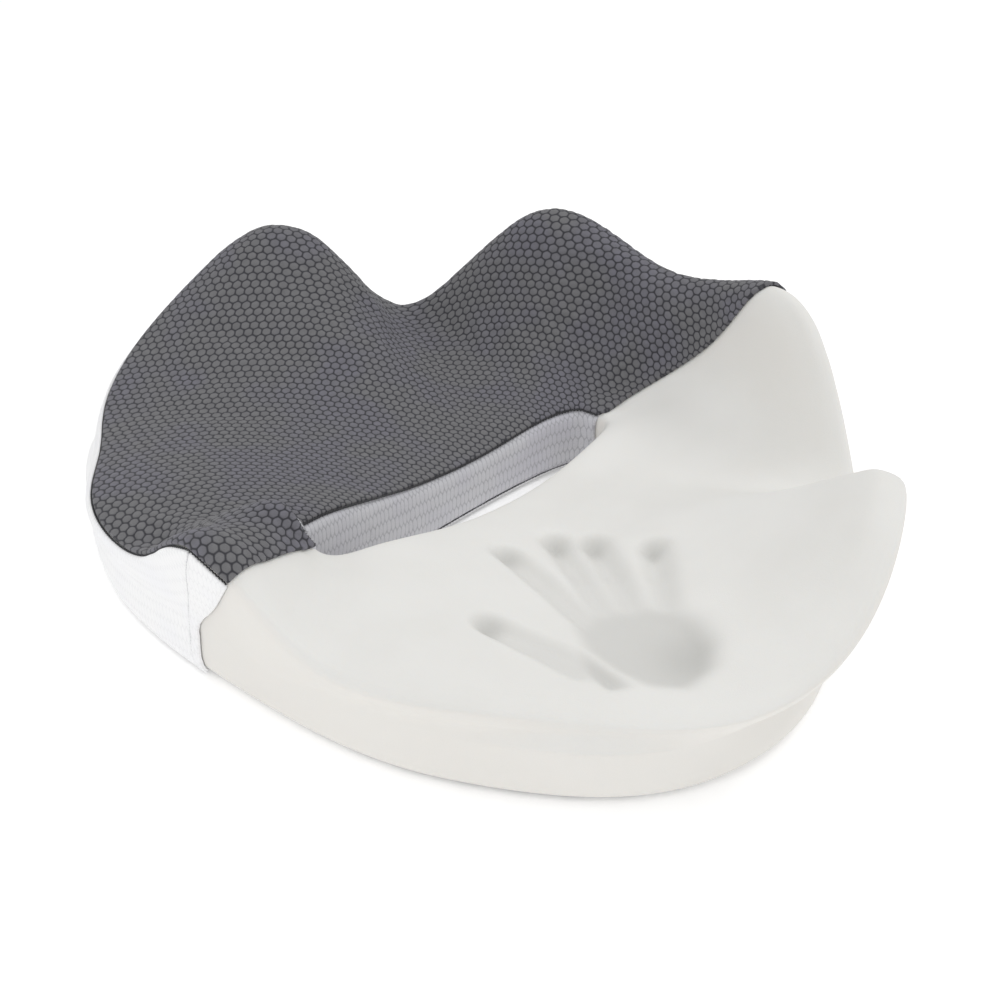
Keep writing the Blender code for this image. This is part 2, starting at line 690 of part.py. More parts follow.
def main():
    clear_scene()
    fabric = {
        "foam": make_material("foam", (0.76, 0.75, 0.72), 0.85),
        "dark_knit": make_material("dark_knit", (0.12, 0.12, 0.13), 0.9),
        "white_mesh": make_material("white_mesh", (0.86, 0.86, 0.87), 0.85),
        "grey_mesh": make_material("grey_mesh", (0.40, 0.40, 0.43), 0.85),
        "base_cloth": make_material("base_cloth", (0.05, 0.05, 0.055), 0.8),
        "dark_thread": make_material("dark_thread", (0.05, 0.05, 0.055), 0.7),
        "white_thread": make_material("white_thread", (0.82, 0.82, 0.83), 0.7),
        "tape": make_material("zip_tape", (0.80, 0.80, 0.81), 0.8),
        "coil": make_material("zip_coil", (0.70, 0.70, 0.71), 0.45),
        "zip_metal": make_material("zip_metal", (0.55, 0.55, 0.56), 0.3, 0.9),
    }
    angles = column_angles()
    grid = foam_grid(angles)
    normals = grid_normals(grid)
    build_foam(grid, fabric["foam"])
    build_base(angles, fabric["base_cloth"])
    build_panels(angles, grid, normals, fabric)
    build_threads(angles, grid, normals, fabric)
    rest = build_zip(fabric) + (SLIDER_LENGTH / 2 + CLEAR) / BASE_RADIUS
    slider = build_slider(rest, fabric["zip_metal"])
    build_pull(rest, slider, fabric["zip_metal"])


main()
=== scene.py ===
"""Looks of the cut-away seat cushion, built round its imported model.

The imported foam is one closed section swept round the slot. That sweep is read back as a grid of
stations and rows, smoothed, and every visible soft piece is a finer patch of it: the bare foam
with a hand print pressed into it, the honeycomb knit top, the mesh side bands and the slot's
lining. Each fabric patch is blown up a little by a cloth simulation, held along its seams, and
then gets its weave as real relief. Lengths are in millimetres until a mesh is made.
"""

import json
import math

import bpy
import numpy as np
from mathutils import Matrix, Vector
from mathutils.kdtree import KDTree


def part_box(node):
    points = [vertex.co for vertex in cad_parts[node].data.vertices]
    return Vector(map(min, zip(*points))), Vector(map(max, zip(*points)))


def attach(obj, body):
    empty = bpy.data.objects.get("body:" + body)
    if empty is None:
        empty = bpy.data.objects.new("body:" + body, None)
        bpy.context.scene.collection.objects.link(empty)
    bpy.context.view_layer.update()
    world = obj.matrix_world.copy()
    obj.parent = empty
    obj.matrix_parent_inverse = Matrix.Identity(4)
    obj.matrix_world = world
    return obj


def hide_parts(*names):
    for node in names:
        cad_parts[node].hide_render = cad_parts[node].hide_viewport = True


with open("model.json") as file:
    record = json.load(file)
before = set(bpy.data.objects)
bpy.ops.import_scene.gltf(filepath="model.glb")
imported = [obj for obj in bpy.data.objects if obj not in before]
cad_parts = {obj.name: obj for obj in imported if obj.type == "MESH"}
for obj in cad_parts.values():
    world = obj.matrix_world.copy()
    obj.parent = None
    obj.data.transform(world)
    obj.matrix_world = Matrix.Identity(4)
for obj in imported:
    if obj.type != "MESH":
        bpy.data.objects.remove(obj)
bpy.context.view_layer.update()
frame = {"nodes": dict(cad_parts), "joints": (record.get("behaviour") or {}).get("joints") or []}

MM = 0.001

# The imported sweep.
STATIONS = 73            # stations round the slot; station 0 is the rear middle
SURE_STATION = 18        # away from the middle plane, where cells aren't flat
WINDOW_GAP = 0.4         # from the upper zip tape to the edge of the window in the band
SKIRT_ROW = 28           # a row on the upright skirt, counted from the slot wall's foot
PANEL_OUTER = 2.4        # the cover's outer face above the foam
PANEL_THICK = 2.0
MATCH = 0.3              # a packed panel's corner lies this close to where it is expected
BAND_CENTRE = -29.0      # the bands' grain runs round this place on the Y axis
BAND_RADIUS = 200.0      # and is measured at this radius

# Knit top: staggered rounded cells.
KNIT_PITCH = (5.3, 8.8)  # across a row of cells, and over two rows
KNIT_RELIEF = 0.55
KNIT_TURN = 40.0         # the rows run at this angle from +X (deg)
CELL_CORNERS = 0.9       # 0 makes a cell round, and more makes it a sharper hexagon
CELL_SLOPE = 0.45        # share of a cell's half width over which it falls to the line
RELIEF_ZERO = 0.65       # height in a cell, from 0 to 1, that lies on the panel's outer face
SEAM_CALM = 3.0          # the relief fades within this distance of a seam
SEAM_RELIEF = 0.35       # to this share of itself
MESH_PITCH = (3.0, 14.0)  # air mesh: tall narrow cells
MESH_RELIEF = 0.22
KNIT_STEP = 1.25         # spacing of the fine surface
MESH_STEP = 1.5
CLOTH_STEP = 6.0         # spacing of the simulated surface
FOAM_STEP = 1.9
BARE_STEP = FOAM_STEP * 0.75     # spacing along the sweep on the bare foam
COVERED_STEP = FOAM_STEP * 4     # and under the cover
BARE = (STATIONS // 2, STATIONS - 5)   # the foam is bare between these stations
COVERED_SINK = 1.0       # the foam under the cover stays clear of it and of the zip by this much
COVER_EASE = 30.0        # and eases back to full size over this length before the bare foam
LINING_TUCK = 2.2        # the lining's edge dips under the knit's by this much
LINING_TUCK_WIDTH = 6.0

# A panel's edge turns down in rings: depth of each, and how far it stands out past the edge.
HEM_DEPTHS = (0.25, 0.8, PANEL_THICK - 0.1)
HEM_SPREAD = (0.35, 0.65, 0.5)

CLOTH_FRAMES = 20
CLOTH_SETTINGS = {"quality": 6, "mass": 0.25, "tension_stiffness": 12.0, "compression_stiffness": 12.0,
                  "shear_stiffness": 6.0, "bending_stiffness": 0.6, "air_damping": 4.0,
                  "use_pressure": True, "vertex_group_mass": "held"}

# Radii of the threads and wires, sizes along the zip, and the base cloth's grip dots.
THREAD_WIRE = 0.24
COIL_PITCH = 1.25
COIL_SWING = 0.62        # half the width of the coil
COIL_WIRE = 0.3
STITCH_LENGTH = 2.6
STITCH_GAP = 1.1
STITCH_WIRE = 0.32
METAL_BEVEL = 0.25
GRIP_PITCH = 9.0
GRIP_RADIUS = 1.9
GRIP_HEIGHT = 0.7
GRIP_MARGIN = 5.0        # no dots this close to the base's edge or to the slot's ends
GRIP_SLOT_SIDE = 29.0    # nor this close to the middle plane beside the slot

# Camera: seen from the right front, from above.
CAMERA_AZIMUTH = 42.9
CAMERA_ELEVATION = 31.9
CAMERA_ROLL = -0.7
CAMERA_DISTANCE = 928.0
CAMERA_HEIGHT = 40.0     # height of the point that the camera's axis is measured from
CAMERA_LENS = 63.7
CAMERA_SHIFT = (0.0066, -0.0336)

# Studio: even light from all round, a key behind the seat, a fill beside the camera and a weak
# light from the left.
SKY_LIGHT = 0.66
SKY_SEEN = 0.97          # how bright the sky itself looks past the floor's edge
FLOOR_GLOW = 0.26        # lifts the floor to near white
FLOOR_HALF = 6000.0
FLOOR_DROP = -0.5
LIGHTS = (               # name, place and size (m), power (W)
    ("key", (0.5, 1.2, 1.4), 0.7, 7.0),
    ("fill", (0.7, -1.15, 1.5), 1.6, 6.0),
    ("side", (-0.9, -0.8, 1.1), 1.0, 2.4),
)

# Right hand pressed into the bare foam: root and tip in plan, radius at both, depth at both.
FINGERS = (
    ((146, -104), (101, -112), 8.5, 7.0, 3.0, 6.6),
    ((133, -76), (60, -56), 7.5, 6.0, 4.4, 6.6),
    ((133, -66), (68, -29), 7.5, 6.0, 4.2, 8.4),
    ((140, -56), (84, -19), 7.5, 6.0, 4.2, 8.4),
    ((150, -47), (113, -9), 7.0, 5.5, 3.6, 8.4),
)
# Palm: its outline in plan, and the heel of the hand, which sinks deeper.
PALM = ((127, -82), (124, -66), (134, -52), (148, -43), (166, -44), (181, -52),
        (189, -65), (188, -80), (174, -90), (158, -92), (140, -90))
PALM_DEPTH = 4.6
HEEL = (176, -62)
HEEL_DEPTH = 3.4
HEEL_SPREAD = 16.0
# The base of the thumb presses its own hollow, with a crease between it and the palm.
THUMB_BASE = ((139, -95), (168, -96), (164, -105), (149, -102))
THUMB_BASE_DEPTH = 5.0
PRINT_EDGE = 8.0         # softness of the print's edge
# Painted shade in the hand print: the foam's colour darkens in the hollows, most under the fingertips, at
# the heel and at the thumb's base.
FINGER_PAINTED_SHADE = 0.35      # painted shade along a finger's hollow, next to 1 under its tip
PALM_PAINTED_SHADE = 0.6
THUMB_PAINTED_SHADE = 0.75
PRINT_SOFTENING = 2      # rounds of averaging over the print


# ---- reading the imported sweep

def welded(node):
    """Corner points (mm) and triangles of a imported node, with split corners joined."""
    mesh = frame["nodes"][node].data
    mesh.calc_loop_triangles()
    points = np.array([v.co for v in mesh.vertices], dtype=float) / MM
    _, first, group = np.unique(np.round(points, 3), axis=0, return_index=True, return_inverse=True)
    group = group.reshape(-1)
    triangles = group[np.array([t.vertices for t in mesh.loop_triangles])]
    return points[first], triangles


def next_ring(ring, apex, points):
    """The row of corners above a row of them, whichever way each cell is split."""
    count = len(ring)
    start = SURE_STATION
    current = apex[(ring[(start + 1) % count], ring[start])]
    for corner in {apex[(ring[k], ring[k - 1])] for k in range(count)}:
        if np.linalg.norm(points[corner, :2] - points[ring[(start + 1) % count], :2]) < 0.01:
            current = corner
    found = {(start + 1) % count: current}
    for k in range(start + 1, start + count):
        low = ring[k % count]
        high = ring[(k + 1) % count]
        corner = apex[(high, low)]
        if corner == current:
            corner = apex[(high, current)]
        found[(k + 1) % count] = corner
        current = corner
    return [found[k] for k in range(count)]


def read_sweep():
    """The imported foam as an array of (station, row, xyz), station 0 at the rear middle.

    Packing drops a row that lies straight between its neighbours, so the middle row of the
    slot wall and the one at the zip window's top are put back.
    """
    points, triangles = welded("foam_core")
    low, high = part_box("slot_lining")
    slot_middle = np.array([0.0, (low.y + high.y) / 2]) / MM
    slot_reach = np.array([-low.x, (high.y - low.y) / 2]) / MM + PANEL_OUTER + 1.0
    foot = points[:, 2].min() + 0.01
    apex = {}
    after = {}
    for triangle in triangles.tolist():
        heights = points[triangle, 2]
        for k in range(3):
            a, b, c = triangle[k], triangle[(k + 1) % 3], triangle[(k + 2) % 3]
            apex[(a, b)] = c
            inside = np.abs(points[[a, b], :2] - slot_middle).max(axis=0)
            inside = (inside < slot_reach).all()
            if inside and points[a, 2] < foot and points[b, 2] < foot < heights.max():
                after[b] = a
    ring = [min(after, key=lambda v: -points[v, 1])]
    while len(ring) < len(after):
        ring.append(after[ring[-1]])
    rings = [ring]
    while len(rings) < 4 or points[rings[-1][0], 2] > foot:
        rings.append(next_ring(rings[-1], apex, points))
    rows = [points[r] for r in rings]
    rows.insert(1, (rows[0] + rows[1]) / 2)
    window = rows[SKIRT_ROW - 2].copy()
    window[:, 2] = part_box("zip_tape_upper")[1].z / MM + WINDOW_GAP
    rows.insert(SKIRT_ROW - 1, window)
    grid = np.stack(rows, axis=1)
    skirt = grid[:, SKIRT_ROW]
    rear = np.where(skirt[:, 1] > 0, np.abs(skirt[:, 0]), np.inf)
    return np.roll(grid, -int(np.argmin(rear)), axis=0)


def sweep_normals(grid):
    """Outward unit normals of the closed sweep."""
    along = np.roll(grid, -1, axis=0) - np.roll(grid, 1, axis=0)
    up = np.roll(grid, -1, axis=1) - np.roll(grid, 1, axis=1)
    normal = np.cross(up, along)
    normal /= np.linalg.norm(normal, axis=2)[:, :, None]
    normal[:, 0] = normal[:, 1]
    return normal


def region(node, outer):
    """Stations and rows that a packed panel covers, and which of its cells are there."""
    tree = KDTree(outer.shape[0] * outer.shape[1])
    for c in range(outer.shape[0]):
        for r in range(outer.shape[1]):
            tree.insert(Vector(outer[c, r]), c * outer.shape[1] + r)
    tree.balance()
    found = set()
    for point in welded(node)[0]:
        _, number, apart = tree.find(Vector(point))
        if apart < MATCH:
            c, r = divmod(number, outer.shape[1])
            found.add((c - STATIONS if c > STATIONS * 0.75 else c, r))
    stations = np.arange(min(c for c, _ in found), max(c for c, _ in found) + 1)
    rows = np.arange(min(r for _, r in found), max(r for _, r in found) + 1)
    whole = np.array([(c, rows[-1]) in found for c in stations])
    cells = np.ones((len(stations) - 1, len(rows) - 1), dtype=bool)
    cells[~(whole[:-1] & whole[1:])] = rows[:-1] < SKIRT_ROW - 1
    return stations, rows, cells


# ---- smooth grids

def chord_knots(grid, axis):
    """Mean distance run along one axis of a grid."""
    step = np.linalg.norm(np.diff(grid, axis=axis), axis=2).mean(axis=1 - axis)
    return np.concatenate([[0.0], np.cumsum(step)])


def smooth_curve(values, knots, at):
    """Smooth curve through values at rising knots, for the first axis of values."""
    shape = (-1,) + (1,) * (values.ndim - 1)
    step = np.diff(knots).reshape(shape)
    slope = np.diff(values, axis=0) / step
    inner = (step[1:] * slope[:-1] + step[:-1] * slope[1:]) / (step[1:] + step[:-1])
    if len(slope) > 1:
        first = 2 * slope[:1] - inner[:1]
        last = 2 * slope[-1:] - inner[-1:]
        tangent = np.concatenate([first, inner, last])
    else:
        tangent = np.concatenate([slope, slope])
    k = np.clip(np.searchsorted(knots, at, side="right") - 1, 0, len(knots) - 2)
    width = step[k]
    t = ((at - knots[k]) / (knots[k + 1] - knots[k])).reshape(shape)
    return ((2 * t**3 - 3 * t**2 + 1) * values[k] + (t**3 - 2 * t**2 + t) * width * tangent[k]
            + (3 * t**2 - 2 * t**3) * values[k + 1] + (t**3 - t**2) * width * tangent[k + 1])


def divided(knots, step):
    """Knots with each stretch divided evenly into pieces of about one step."""
    parts = [np.array([knots[0]])]
    for a, b in zip(knots[:-1], knots[1:]):
        count = max(1, int(round((b - a) / step)))
        parts.append(a + (b - a) * np.arange(1, count + 1) / count)
    return np.concatenate(parts)


def resampled(grid, stations, rows, knots):
    """Grid values at finer places along both axes; knots are the present ones."""
    fine = smooth_curve(grid, knots[0], stations)
    return smooth_curve(fine.swapaxes(0, 1), knots[1], rows).swapaxes(0, 1)


def grid_normals(grid):
    """Outward unit normals of an open grid."""
    along = np.gradient(grid, axis=0)
    up = np.gradient(grid, axis=1)
    normal = np.cross(up, along)
    return normal / np.maximum(np.linalg.norm(normal, axis=2), 1e-9)[:, :, None]


# ---- meshes

def new_object(name, vertices, faces, material, body="cushion", replaces=(), uv=None):
    """Make a piece from points in mm; faces is an array of equal-sided faces or a list."""
    mesh = bpy.data.meshes.new(name)
    points = np.asarray(vertices, dtype=float) * MM
    if isinstance(faces, np.ndarray):
        sides = faces.shape[1]
        mesh.vertices.add(len(points))
        mesh.vertices.foreach_set("co", points.astype(np.float32).ravel())
        mesh.loops.add(faces.size)
        mesh.loops.foreach_set("vertex_index", faces.astype(np.int32).ravel())
        mesh.polygons.add(len(faces))
        mesh.polygons.foreach_set("loop_start", np.arange(0, faces.size, sides, dtype=np.int32))
        mesh.update(calc_edges=True)
    else:
        mesh.from_pydata([tuple(p) for p in points], [], faces)
    mesh.validate()
    if uv is not None:
        layer = mesh.uv_layers.new(name="weave")
        corner = np.zeros(len(mesh.loops), dtype=np.int32)
        mesh.loops.foreach_get("vertex_index", corner)
        layer.data.foreach_set("uv", np.asarray(uv, dtype=np.float32)[corner].ravel())
    mesh.materials.append(material)
    mesh.shade_smooth()
    item = bpy.data.objects.new(name, mesh)
    bpy.context.scene.collection.objects.link(item)
    if body:
        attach(item, body)
    if replaces:
        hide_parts(*replaces)
    return item


def quads(count, rows, keep=None, closed=(False, False)):
    """Faces of a grid, wound outward; keep says which cells are there, closed which way it loops."""
    c, r = np.meshgrid(np.arange(count - (not closed[0])), np.arange(rows - (not closed[1])), indexing="ij")
    if keep is not None:
        c = c[keep]
        r = r[keep]
    next_c = (c + 1) % count
    next_r = (r + 1) % rows
    corners = (c * rows + r, c * rows + next_r, next_c * rows + next_r, next_c * rows + r)
    return np.stack(corners, axis=-1).reshape(-1, 4)


def ring_faces(count, sides):
    """Faces between rings of points that follow each other along a tube or dome."""
    return quads(count, sides, closed=(False, True))[:, [0, 3, 2, 1]].tolist()


def border_edges(faces):
    """Directed edges that only one face has."""
    edges = np.concatenate([faces[:, [k, (k + 1) % 4]] for k in range(4)])
    there = {(int(a), int(b)) for a, b in edges}
    return [(a, b) for a, b in sorted(there) if (b, a) not in there]


def add_hem(points, normals, faces, depths, spread):
    """Turn the sheet's edge down in a few rings, so that it reads as thick rounded fabric."""
    edges = border_edges(faces)
    rim = sorted({a for a, _ in edges})
    following = dict(edges)
    leading = {b: a for a, b in edges}
    place = {v: i for i, v in enumerate(rim)}
    ring = np.array(rim)
    along = points[[following[v] for v in rim]] - points[[leading[v] for v in rim]]
    outward = np.cross(along, normals[ring])
    outward /= np.maximum(np.linalg.norm(outward, axis=1), 1e-9)[:, None]
    all_points = [points]
    all_faces = [faces]
    previous = {v: v for v in rim}
    base = len(points)
    for depth, out in zip(depths, spread):
        all_points.append(points[ring] - normals[ring] * depth + outward * out)
        current = {v: base + place[v] for v in rim}
        side = [(previous[b], previous[a], current[a], current[b]) for a, b in edges]
        all_faces.append(np.array(side))
        previous = current
        base += len(rim)
    return np.concatenate(all_points), np.concatenate(all_faces), ring


def tube(path, radius, sides=6):
    """Closed tube along a path of points; returns points and faces."""
    path = np.asarray(path, dtype=float)
    along = np.gradient(path, axis=0)
    along /= np.maximum(np.linalg.norm(along, axis=1), 1e-9)[:, None]
    side = np.cross(along, [0.0, 0.0, 1.0])
    flat = np.linalg.norm(side, axis=1) < 1e-3
    side[flat] = [1.0, 0.0, 0.0]
    side /= np.linalg.norm(side, axis=1)[:, None]
    rise = np.cross(side, along)
    turn = 2 * np.pi * np.arange(sides) / sides
    ring = np.cos(turn)[None, :, None] * side[:, None] + np.sin(turn)[None, :, None] * rise[:, None]
    points = (path[:, None] + radius * ring).reshape(-1, 3)
    first = list(range(sides))
    last = list(reversed(range(len(points) - sides, len(points))))
    return points, ring_faces(len(path), sides) + [first, last]


def joined(parts):
    """Several (points, faces) as one."""
    points = []
    faces = []
    base = 0
    for part_points, part_faces in parts:
        points.append(part_points)
        faces.extend(tuple(i + base for i in face) for face in part_faces)
        base += len(part_points)
    return np.concatenate(points), faces


# ---- materials

class Nodes:
    """Short calls for a material's node tree."""

    def __init__(self, name, roughness=0.8, metallic=0.0):
        self.material = bpy.data.materials.new(name)
        self.material.use_nodes = True
        self.tree = self.material.node_tree
        self.shader = self.tree.nodes["Principled BSDF"]
        self.shader.inputs["Roughness"].default_value = roughness
        self.shader.inputs["Metallic"].default_value = metallic

    def link(self, value, socket):
        """Put a number, colour or another node's output into a socket."""
        if isinstance(value, bpy.types.NodeSocket):
            self.tree.links.new(value, socket)
        elif socket.type == "RGBA" and len(value) == 3:
            socket.default_value = (*value, 1.0)
        else:
            socket.default_value = value

    def node(self, kind, inputs, output=0, **settings):
        """Add a node; inputs maps socket names or numbers to values."""
        made = self.tree.nodes.new("ShaderNode" + kind)
        for key, value in settings.items():
            setattr(made, key, value)
        for key, value in inputs.items():
            self.link(value, made.inputs[key])
        return made.outputs[output]

    def math(self, operation, a, b=0.0, c=0.0):
        """One step of arithmetic on numbers."""
        return self.node("Math", {0: a, 1: b, 2: c}, operation=operation)

    def vector(self, operation, a, b=(0.0, 0.0, 0.0), output=0):
        """One step of arithmetic on vectors."""
        return self.node("VectorMath", {0: a, 1: b}, output, operation=operation)

    def mix(self, share, a, b):
        """Blend two colours."""
        made = self.tree.nodes.new("ShaderNodeMix")
        made.data_type = "RGBA"
        self.link(share, made.inputs[0])
        self.link(a, made.inputs[6])
        self.link(b, made.inputs[7])
        return made.outputs[2]

    def scaled(self, value, low=0.3, high=0.7, to_low=0.0, to_high=1.0):
        """Map a range onto another one, with soft ends."""
        inputs = {0: value, 1: low, 2: high, 3: to_low, 4: to_high}
        return self.node("MapRange", inputs, interpolation_type="SMOOTHSTEP")

    def place(self):
        """Position in the row frame, in mm, at rest."""
        point = self.node("TexCoord", {}, "Object")
        return self.vector("MULTIPLY", point, (1000.0, 1000.0, 1000.0))

    def noise(self, where, size, detail=2.0, roughness=0.5):
        """Noise from 0 to 1 with features of about the given size in mm."""
        inputs = {"Vector": where, "Scale": 1.0 / size, "Detail": detail, "Roughness": roughness}
        return self.node("TexNoise", inputs, 0)

    def weave(self, wander=0.0):
        """The piece's weave coordinates in mm; they may wander a little, as real cloth does."""
        where = self.node("UVMap", {}, "UV", uv_map="weave")
        if not wander:
            return where
        drift = self.node("TexNoise", {"Vector": where, "Scale": 0.12, "Detail": 2.0}, 1)
        offset = self.vector("SUBTRACT", drift, (0.5, 0.5, 0.5))
        return self.vector("ADD", where, self.vector("MULTIPLY", offset, (wander, wander, 0.0)))

    def cells(self, where, pitch):
        """Staggered rounded cells: 0 in a cell's middle and 1 on the line between cells."""
        share = self.vector("MULTIPLY", where, (1.0 / pitch[0], 1.0 / pitch[1], 0.0))
        found = []
        for shift in (0.0, 0.5):
            moved = self.vector("ADD", share, (shift, shift, 0.0))
            inside = self.vector("SUBTRACT", self.vector("FRACTION", moved), (0.5, 0.5, 0.0))
            inside = self.vector("MULTIPLY", inside, (1.0, math.sqrt(3), 0.0))
            size = self.vector("ABSOLUTE", inside)
            across = self.vector("DOT_PRODUCT", size, (1.0, 0.0, 0.0), "Value")
            slant = self.vector("DOT_PRODUCT", size, (0.5, math.sqrt(3) / 2, 0.0), "Value")
            edge = self.math("MAXIMUM", across, slant)
            length = self.vector("LENGTH", size, output="Value")
            found.append(self.math("ADD", self.math("MULTIPLY", edge, CELL_CORNERS), length))
        return self.math("MINIMUM", found[0], found[1])

    def bump(self, height, strength, distance, under=None):
        """Bump from a height; distance in mm."""
        inputs = {"Height": height, "Strength": strength, "Distance": distance * MM}
        if under is not None:
            inputs["Normal"] = under
        return self.node("Bump", inputs)

    def finish(self, colour, roughness=None, normal=None, others=None):
        """Connect the shader's inputs and return the material."""
        self.link(colour, self.shader.inputs["Base Color"])
        if roughness is not None:
            self.link(roughness, self.shader.inputs["Roughness"])
        if normal is not None:
            self.link(normal, self.shader.inputs["Normal"])
        for key, value in (others or {}).items():
            self.link(value, self.shader.inputs[key])
        return self.material


def foam_material():
    """Off-white slow foam: faint pores, soft cloudy tone, painted warm shade down the side walls and painted
    shade in the hand print's hollows.
    """
    n = Nodes("foam")
    where = n.place()
    cloud = n.noise(where, 70.0, 3.0)
    tone = n.mix(n.scaled(cloud), (0.80, 0.793, 0.765), (0.835, 0.83, 0.805))
    # Painted warm shade: faces that stand upright are tinted half way to a darker, warmer tone.
    upright = n.vector("DOT_PRODUCT", n.node("NewGeometry", {}, "Normal"), (0.0, 0.0, 1.0), "Value")
    tone = n.mix(n.scaled(upright, 0.1, 0.7, 0.5, 0.0), tone, (0.80, 0.77, 0.725))
    pores = n.node("TexVoronoi", {"Vector": where, "Scale": 1.0 / 0.9}, "Distance")
    tone = n.mix(n.scaled(pores, 0.0, 0.22, 0.22, 0.0), tone, (0.62, 0.60, 0.57))
    # Painted shade in the hand print's hollows darkens the foam's colour.
    painted_print_shade = n.node("Attribute", {}, "Fac", attribute_name="pressed")
    tone = n.mix(painted_print_shade, tone, (0.58, 0.577, 0.555))
    fine = n.bump(n.noise(where, 0.7, 4.0, 0.6), 0.25, 0.25)
    normal = n.bump(n.scaled(pores, 0.0, 0.3), 0.2, 0.2, fine)
    rough = n.scaled(n.noise(where, 12.0), 0.3, 0.7, 0.82, 0.93)
    return n.finish(tone, rough, normal, {"Specular IOR Level": 0.25, "Subsurface Weight": 0.08,
                                          "Subsurface Radius": (0.006, 0.005, 0.004)})


def knit_material():
    """Dark grey honeycomb knit: rounded cells over darker lines, with a faint violet cast."""
    n = Nodes("dark_knit")
    where = n.weave()
    cells = n.cells(where, KNIT_PITCH)
    place = n.place()
    patch = n.scaled(n.noise(place, 45.0, 2.0), 0.42, 0.62)
    high = n.mix(patch, (0.158, 0.157, 0.162), (0.150, 0.146, 0.180))
    thread = n.noise(n.vector("MULTIPLY", where, (1.0, 2.6, 1.0)), 0.55, 3.0, 0.7)
    high = n.mix(n.scaled(thread, 0.3, 0.7, 0.0, 0.5), high, (0.205, 0.204, 0.215))
    one_cell = n.vector("MULTIPLY", where, (1.0 / KNIT_PITCH[0], 2.0 / KNIT_PITCH[1], 0.0))
    single = n.noise(one_cell, 1.0, 0.0)
    high = n.mix(n.scaled(single, 0.3, 0.7, 0.0, 0.35), high, (0.120, 0.119, 0.126))
    colour = n.mix(n.scaled(cells, 0.66, 0.93), high, (0.045, 0.045, 0.052))
    loops = n.node("TexWave", {"Vector": where, "Scale": 0.55, "Distortion": 2.0, "Detail": 2.0,
                               "Detail Scale": 2.0}, 1, bands_direction="DIAGONAL")
    fine = n.bump(loops, 0.35, 0.18)
    normal = n.bump(n.scaled(cells, 0.55, 1.0, 1.0, 0.0), 0.5, 0.35, fine)
    rough = n.scaled(cells, 0.6, 1.0, 0.78, 0.95)
    return n.finish(colour, rough, normal, {"Sheen Weight": 0.12, "Sheen Roughness": 0.5,
                                            "Specular IOR Level": 0.3})


def mesh_material(name, high, low, violet):
    """Air mesh: tall staggered cells with soft lines between them and fine vertical ribs."""
    n = Nodes(name)
    where = n.weave(2.0)
    cells = n.cells(where, MESH_PITCH)
    place = n.place()
    patch = n.scaled(n.noise(place, 38.0, 2.0), 0.4, 0.65)
    top = n.mix(patch, high, violet)
    thread = n.noise(n.vector("MULTIPLY", where, (3.0, 0.9, 1.0)), 0.8, 3.0, 0.7)
    top = n.mix(n.scaled(thread, 0.35, 0.75, 0.0, 0.45), top, low)
    colour = n.mix(n.scaled(cells, 0.74, 1.0, 0.0, 0.8), top, low)
    ribs = n.node("TexWave", {"Vector": where, "Scale": 0.45, "Distortion": 1.2, "Detail": 2.0}, 1,
                  bands_direction="X")
    fine = n.bump(ribs, 0.25, 0.15)
    normal = n.bump(n.scaled(cells, 0.6, 1.0, 1.0, 0.0), 0.4, 0.25, fine)
    rough = n.scaled(cells, 0.6, 1.0, 0.72, 0.9)
    return n.finish(colour, rough, normal, {"Sheen Weight": 0.1, "Sheen Roughness": 0.5,
                                            "Specular IOR Level": 0.3})


def yarn_material(name, light, dark):
    """Twisted sewing thread."""
    n = Nodes(name, 0.6)
    where = n.place()
    fibres = n.noise(n.vector("MULTIPLY", where, (1.0, 1.0, 2.5)), 0.35, 4.0, 0.7)
    colour = n.mix(n.scaled(fibres), dark, light)
    rough = n.scaled(fibres, 0.3, 0.7, 0.75, 0.5)
    return n.finish(colour, rough, n.bump(fibres, 0.5, 0.1), {"Sheen Weight": 0.1})


def woven_material(name, light, dark, thread):
    """Plain weave of flat threads, for the zip's tapes and the base cloth."""
    n = Nodes(name, 0.8)
    where = n.place()
    wave = {"Vector": where, "Scale": 0.31 / thread, "Distortion": 0.4}
    warp, weft, over = (n.node("TexWave", wave, 1, bands_direction=axis) for axis in "XYZ")
    height = n.math("MULTIPLY", n.math("MAXIMUM", warp, weft), n.math("ADD", over, 0.6))
    dust = n.scaled(n.noise(where, 25.0, 3.0), 0.35, 0.7, 0.0, 0.25)
    colour = n.mix(n.scaled(height, 0.2, 1.2), dark, light)
    colour = n.mix(dust, colour, light)
    return n.finish(colour, n.scaled(height, 0.0, 1.4, 0.9, 0.7), n.bump(height, 0.4, 0.2))


def rubber_material():
    """Silicone grip dots, slightly scuffed."""
    n = Nodes("grip_rubber", 0.5)
    where = n.place()
    scuff = n.noise(where, 3.0, 4.0, 0.7)
    scuffed = n.scaled(scuff, 0.45, 0.75, 0.0, 0.6)
    colour = n.mix(scuffed, (0.022, 0.022, 0.024), (0.06, 0.06, 0.062))
    return n.finish(colour, n.scaled(scuff, 0.3, 0.7, 0.42, 0.7), n.bump(scuff, 0.2, 0.05))


def nylon_material():
    """Zip coil nylon: slightly translucent white with fine drawing lines."""
    n = Nodes("zip_nylon", 0.35)
    where = n.place()
    lines = n.noise(n.vector("MULTIPLY", where, (1.0, 1.0, 4.0)), 0.5, 2.0)
    colour = n.mix(n.scaled(lines), (0.72, 0.72, 0.74), (0.84, 0.84, 0.85))
    return n.finish(colour, n.scaled(lines, 0.3, 0.7, 0.3, 0.5), n.bump(lines, 0.15, 0.05),
                    {"Subsurface Weight": 0.1, "Subsurface Radius": (0.0008, 0.0008, 0.0008)})


